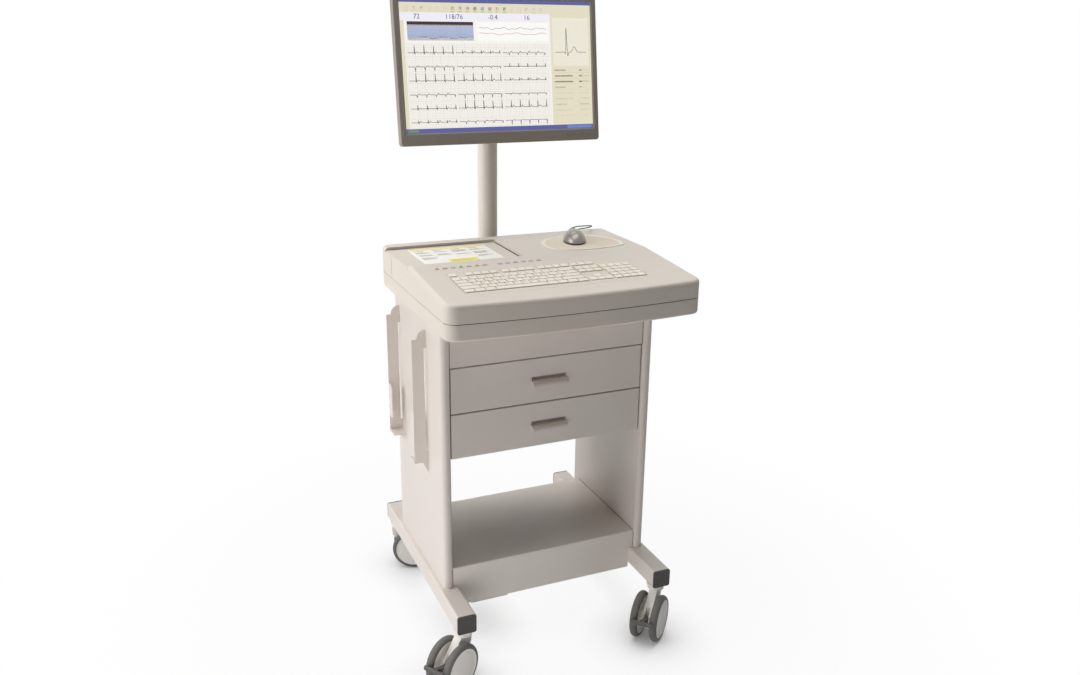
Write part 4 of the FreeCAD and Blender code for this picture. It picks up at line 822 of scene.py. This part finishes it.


# short guide card on the printer lid: yellow bands and blank tables, with no lettering; a dark strip of painted
# shade in the gap at the lid's right end
def addLidCard():
    facts = dict(
        left=-251.0, front=-42.0, wide=192.0, deep=154.0, round=4.0, sheet=0.35, paper="#FFFEF8", band="#FAE86E",
        grey="#8B867E", dark="#6A655E", ink=0.03, endShade="#2F2A26", endShadeInset=(4.6, 3.6, 0.3, 2), endShadeLift=0.25,
        fields=((3, 139, 189, 151, "band"), (62, 5, 132, 34, "band"), (68, 26, 108, 27.4, "grey"),
                (68, 17, 120, 18.2, "grey")),
        inset=9, gap=4, spare=30, head=(24, 20.6, 0.6), pitch=3.6, line=1.7,
        blocks=(((34, 5), (62, 4), (88, 6)), ((36, 3), (60, 5)), ((34, 6), (72, 3)), ((36, 4), (64, 6), (100, 4))),
    )
    left, front, wide, deep, sheet = (facts[key] for key in ("left", "front", "wide", "deep", "sheet"))
    shapes = [(softened(bar(left, front, left + wide, front + deep), facts["round"]), facts["paper"])]
    card = addPrint("lidCard", shapes, onLid, "lid", cardInk, lift=sheet, thickness=sheet)
    rear = front + deep
    prints = [(bar(left + u0, front + w0, left + u1, front + w1), facts[tone])
              for u0, w0, u1, w1, tone in facts["fields"]]
    column = (wide - facts["spare"]) / len(facts["blocks"])
    headLow, headHigh, headShare = facts["head"]
    for step, blocks in enumerate(facts["blocks"]):
        u = left + facts["inset"] + step * (column + facts["gap"])
        prints.append((bar(u, rear - headLow, u + column * headShare, rear - headHigh), facts["dark"]))
        for block, (down, count) in enumerate(blocks):
            for line in range(count):
                w = rear - down - line * facts["pitch"]
                share = 0.5 + 0.45 * abs(math.sin(1.7 * line + 2.3 * block + step))
                prints.append((bar(u, w, u + column * share, w + facts["line"]), facts["grey"]))
    addPrint("lidCardPrint", prints, onLid, "lid", cardInk, lift=sheet + facts["ink"],
             thickness=facts["ink"])
    low, high = boxOf("printer_lid")
    a, b, c, d = facts["endShadeInset"]
    endShade = softened(bar(high.x - a, low.y + b, high.x - c, high.y - d), 1.2, 3)
    addPrint("lidEndShade", [(endShade, facts["endShade"])], onLid, "lid", cardInk, lift=facts["endShadeLift"],
             thickness=facts["endShadeLift"])
    print("lid card:", len(prints), "printed fields on", card.name)


addLidCard()


# one heartbeat: five bell curves for the small wave, the sharp spike with its dips, and the slow wave
def heartTrace(time, spike, slow, dip):
    bells = ((-0.17, 0.10, 0.026), (-0.035, -0.5 * dip, 0.010), (0.0, spike, 0.011), (0.038, -dip, 0.013),
             (0.24, slow, 0.045))
    phase = (time + 0.35) % 1.0 - 0.35
    return sum(size * np.exp(-((phase - at) / spread) ** 2 / 2) for at, size, spread in bells)


# screen picture: traces on a fine grid, a pale tool row, blue bars and a beige column with one enlarged beat
def addScreen():
    facts = dict(
        wide=480.0, high=300.0, column=372.0, rows=6, columns=3, gridLow=12.0, gridHigh=202, cell=4.0, hair=0.22,
        line=1.15, thin=0.8, numberSize=11, numberLow=256, tools=19, toolPitch=18.5, listRows=9, listTop=138,
        listPitch=13.5,
        numbers=(("72", 40, "dusk"), ("118/76", 130, "violet"), ("-0.4", 226, "dusk"), ("16", 312, "violet")),
    )
    tones = dict(
        paper="#F6F4EE", fine="#DDD0CA", bold="#BFADA6", trace="#2A2928", beige="#E4DDC4", blue="#585E9E",
        sky="#B3BFDD", night="#33294A", sand="#D8B77C", rose="#B2505A", mist="#F0EEF5", green="#6E9A55",
        stone="#D9D3C6", white="#FBFAF7", pale="#7E92CF", rule="#8E8874", label="#6B6657", value="#3E3B36",
        divide="#BDB59B", tick="#4A4555", slate="#39466F", dusk="#2A2545", violet="#3B4098",
    )
    signs = ("#6C7B8C", "#B38A4C", "#5E86B5", "#A65C57", "#6B8F5E", "#8B7FA0", "#5F6A74")
    wide, high, column, low, hair = (facts[key] for key in ("wide", "high", "column", "gridLow", "hair"))

    def show(name, shapes, lift, thickness=0.02):
        addPrint(name, shapes, onScreen, "monitor", screenInk, lift=lift, thickness=thickness)

    show("screenGround", [(bar(0, 0, wide, high), tones["paper"])], 0.10, 0.08)
    grid = []
    for k, u in enumerate(np.arange(low, column, facts["cell"])):
        grid.append((bar(u - hair, low, u + hair, facts["gridHigh"]), tones["bold" if k % 5 == 0 else "fine"]))
    for k, w in enumerate(np.arange(low, facts["gridHigh"] + 1.0, facts["cell"])):
        grid.append((bar(low, w - hair, column - 4, w + hair), tones["bold" if k % 5 == 0 else "fine"]))
    show("screenGrid", grid, 0.12)
    fields = (
        (0, 292, wide, high, "blue"), (0, 270, wide, 292, "beige"), (0, 252, column, 270, "mist"),
        (column, 10, wide, 270, "beige"), (0, 0, wide, 10, "blue"), (0, 10, 9, 252, "beige"),
        (4, 1.5, 30, 8.5, "green"), (16, 208, 176, 250, "night"), (16, 208, 176, 241, "sky"),
        (16, 240, 176, 243, "sand"), (16, 208, 176, 214, "stone"), (186, 208, column - 6, 250, "white"),
        (column + 6, 150, wide - 6, 262, "white"), (410, 1.5, 476, 8.5, "pale"),
    )
    panels = [(bar(*corners), tones[tone]) for *corners, tone in fields]
    for step in range(facts["tools"]):
        u = 12 + step * facts["toolPitch"]
        panels.append((softened(bar(u, 276, u + 8, 284), 2.0, 3), signs[(step * 3) % len(signs)]))
        panels.append((bar(u - 1, 272, u + 9, 273.6), tones["rule"]))
    for line in range(facts["listRows"]):
        w = facts["listTop"] - line * facts["listPitch"]
        end = column + 8 + 30 + 22 * abs(math.sin(2.1 * line))
        panels.append((bar(column + 8, w, end, w + 3.2), tones["label"]))
        panels.append((bar(wide - 34, w, wide - 8, w + 3.6), tones["value"]))
        panels.append((bar(column + 6, w - 4.4, wide - 6, w - 3.8), tones["divide"]))
    for step in range(6):
        u, w = 20 + 24 * step, 212 + 3 * (step % 2)
        panels.append((bar(u, w, u + 20, w + 1.2), tones["tick"]))
    show("screenPanels", panels, 0.14)
    lines = []
    span = (column - 22) / facts["columns"]
    pitch = 188.0 / facts["rows"]
    time = np.linspace(0.0, 4.6, 330)
    for row in range(facts["rows"]):
        for col in range(facts["columns"]):
            lead = row * facts["columns"] + col
            spike = 15.0 * math.cos(0.9 * lead + 0.5) + 4.0
            slow, dip = 2.4 + 1.4 * math.sin(lead), 2.5 + 1.5 * math.cos(2 * lead)
            height = heartTrace(time * 1.04 + 0.3, spike, slow, dip)
            u = 14 + col * span + np.linspace(0, span - 6, len(time))
            w = 24 + (facts["rows"] - 1 - row) * pitch + height + 0.25 * np.sin(31 * time + lead)
            lines += strip(np.stack([u, w], axis=1), facts["line"], tones["trace"])
    beat = np.linspace(-0.35, 0.6, 160)
    u = column + 12 + (beat + 0.35) / 0.95 * (wide - column - 26)
    w = 182 + heartTrace(beat, 58.0, 13.0, 9.0)
    lines += strip(np.stack([u, w], axis=1), facts["line"], tones["trace"])
    drift = np.linspace(0, 1, 120)
    u = 190 + drift * (column - 200)
    for level, tone, speed in ((236.0, "slate", 23.0), (224.0, "rose", 15.0)):
        w = level + 1.6 * np.sin(speed * drift) + 1.1 * np.sin(2.3 * speed * drift + 1)
        lines += strip(np.stack([u, w], axis=1), facts["thin"], tones[tone])
    show("screenTraces", lines, 0.17)
    numbers = []
    for text, u, tone in facts["numbers"]:
        parts = glyphTriangles(text, facts["numberSize"], u, facts["numberLow"])
        numbers += [(part, tones[tone]) for part in parts]
    show("screenNumbers", numbers, 0.17)
    print("screen:", len(panels), "fields,", len(lines), "trace quads")


addScreen()


# small domed screw with a round socket, turned from its profile and set on its carrier's face
def addScrews():
    facts = dict(
        head=((0.0, 0.9), (0.9, 0.9), (1.05, 2.0), (2.2, 1.75), (3.2, 1.1), (3.6, 0.3), (3.6, -0.4), (0.0, -0.4)),
        bracket=dict(half=60, edge=16, sheet=4.0, scale=1.5), back=dict(half=232, edge=20, scale=1.0),
        plate=dict(half=50, y=53.0, levels=(122.5, 222.5), scale=1.2),
    )
    bracket, back, plate = facts["bracket"], facts["back"], facts["plate"]
    rearwards = (0, 1, 0)
    places = []
    low, high = boxOf("pole_bracket")
    for x in (-bracket["half"], bracket["half"]):
        for z in (low.z + bracket["edge"], high.z - bracket["edge"]):
            at = (x, low.y + bracket["sheet"], z)
            places.append((at, rearwards, "trolley", "cream_paint", bracket["scale"]))
    low, high = boxOf("back_panel")
    for x in (-back["half"], back["half"]):
        for z in (low.z + back["edge"], (low.z + high.z) / 2, high.z - back["edge"]):
            places.append(((x, high.y, z), rearwards, "trolley", "cream_paint", back["scale"]))
    tilted = (0, math.cos(monitor["lean"]), -math.sin(monitor["lean"]))
    for x in (-plate["half"], plate["half"]):
        for z in plate["levels"]:
            places.append(((x, *leaning(plate["y"], z)), tilted, "monitor", "plate_paint", plate["scale"]))
    head = np.array(facts["head"])
    for step, (at, axis, body, slot, scale) in enumerate(places):
        mesh = latheMesh(f"screw.{step}", head * scale * mm, np.array(at) * mm, axis, steps=20, closed=False)
        addPiece(f"screw.{step}", mesh, body, zincSteel)
    print("screws:", len(places))


addScrews()


# one where a camera, mirror or glass ray looks, so the background shows white there and lights nothing
def whiteRays(tree):
    path = put(tree, "ShaderNodeLightPath").outputs
    direct = calc(tree, "MAXIMUM", path["Is Camera Ray"], path["Is Glossy Ray"])
    return calc(tree, "MAXIMUM", direct, path["Is Transmission Ray"])


# pale floor that turns to plain white with the distance from the object and keeps the shade close under it
def makeFloor():
    facts = dict(near=0.5, far=1.4, glow=0.93, reach=0.14, shade=(0.35, 0.97), least=0.1,
                 tone=(0.74, 0.74, 0.75, 1))
    material, tree, shader = newMaterial("paleFloor")
    length = put(tree, "ShaderNodeVectorMath", {0: objectPlace(tree)}, operation="LENGTH").outputs["Value"]
    away = ramp(tree, length, facts["near"], facts["far"], facts["glow"], interpolation_type="SMOOTHSTEP")
    skin = skinOf(tree, facts["tone"], 0.85, 200.0, 2.0, 0.01)
    feed(tree, shader, {"Base Color": skin["Colour"], "Roughness": skin["Roughness"]})
    white = put(tree, "ShaderNodeEmission", {"Strength": 1.0})
    under = put(tree, "ShaderNodeAmbientOcclusion", {"Distance": facts["reach"]}, samples=8)
    unshaded = ramp(tree, under.outputs["AO"], *facts["shade"], facts["least"])
    share = calc(tree, "MULTIPLY", whiteRays(tree), calc(tree, "MULTIPLY", away, unshaded))
    surface = mixShaders(tree, share, shader.outputs[0], white.outputs[0])
    feed(tree, tree.nodes["Material Output"], {"Surface": surface})
    return material


# white studio: soft light from the left and above, a pale floor that keeps the shadow, white beyond it
def addStudio():
    facts = dict(
        key=((-2.9, 0.3, 1.7), (0.0, 0.0, 0.75), 2.4, 61.0),
        top=((-0.2, 0.7, 5.2), (0.0, 0.0, 0.75), 5.0, 185.0),
        low=((-0.6, -1.0, 0.1), (0.0, -0.2, 0.15), 0.5, 2.9),
        world=0.02, warm=(1, 0.985, 0.96, 1), white=(1, 1, 1, 1), floor=7.0, drop=-0.0004,
    )
    for name in ("key", "top", "low"):
        place, target, size, power = facts[name]
        data = bpy.data.lights.new(name, "AREA")
        data.shape = "SQUARE"
        data.size = size
        data.energy = power
        lamp = bpy.data.objects.new(name, data)
        lamp.location = place
        lamp.visible_camera = False
        lamp.rotation_mode = "QUATERNION"
        lamp.rotation_quaternion = (Vector(target) - Vector(place)).to_track_quat("-Z", "Y")
        bpy.context.scene.collection.objects.link(lamp)
    world = bpy.data.worlds.new("studio")
    bpy.context.scene.world = world
    world.use_nodes = True
    tree = world.node_tree
    tree.nodes.clear()
    lit = put(tree, "ShaderNodeBackground", {"Color": facts["warm"], "Strength": facts["world"]})
    white = put(tree, "ShaderNodeBackground", {"Color": facts["white"], "Strength": 1.0})
    surface = mixShaders(tree, whiteRays(tree), lit.outputs[0], white.outputs[0])
    put(tree, "ShaderNodeOutputWorld", {"Surface": surface})
    half, drop = facts["floor"], facts["drop"]
    corners = np.array([[(x, y, drop) for y in (-half, half)] for x in (-half, half)])
    floor = bpy.data.objects.new("floor", gridMesh("floor", corners))
    bpy.context.scene.collection.objects.link(floor)
    floor.data.materials.append(makeFloor())
    bpy.context.scene.view_settings.view_transform = "Standard"


addStudio()
print("studio lit")
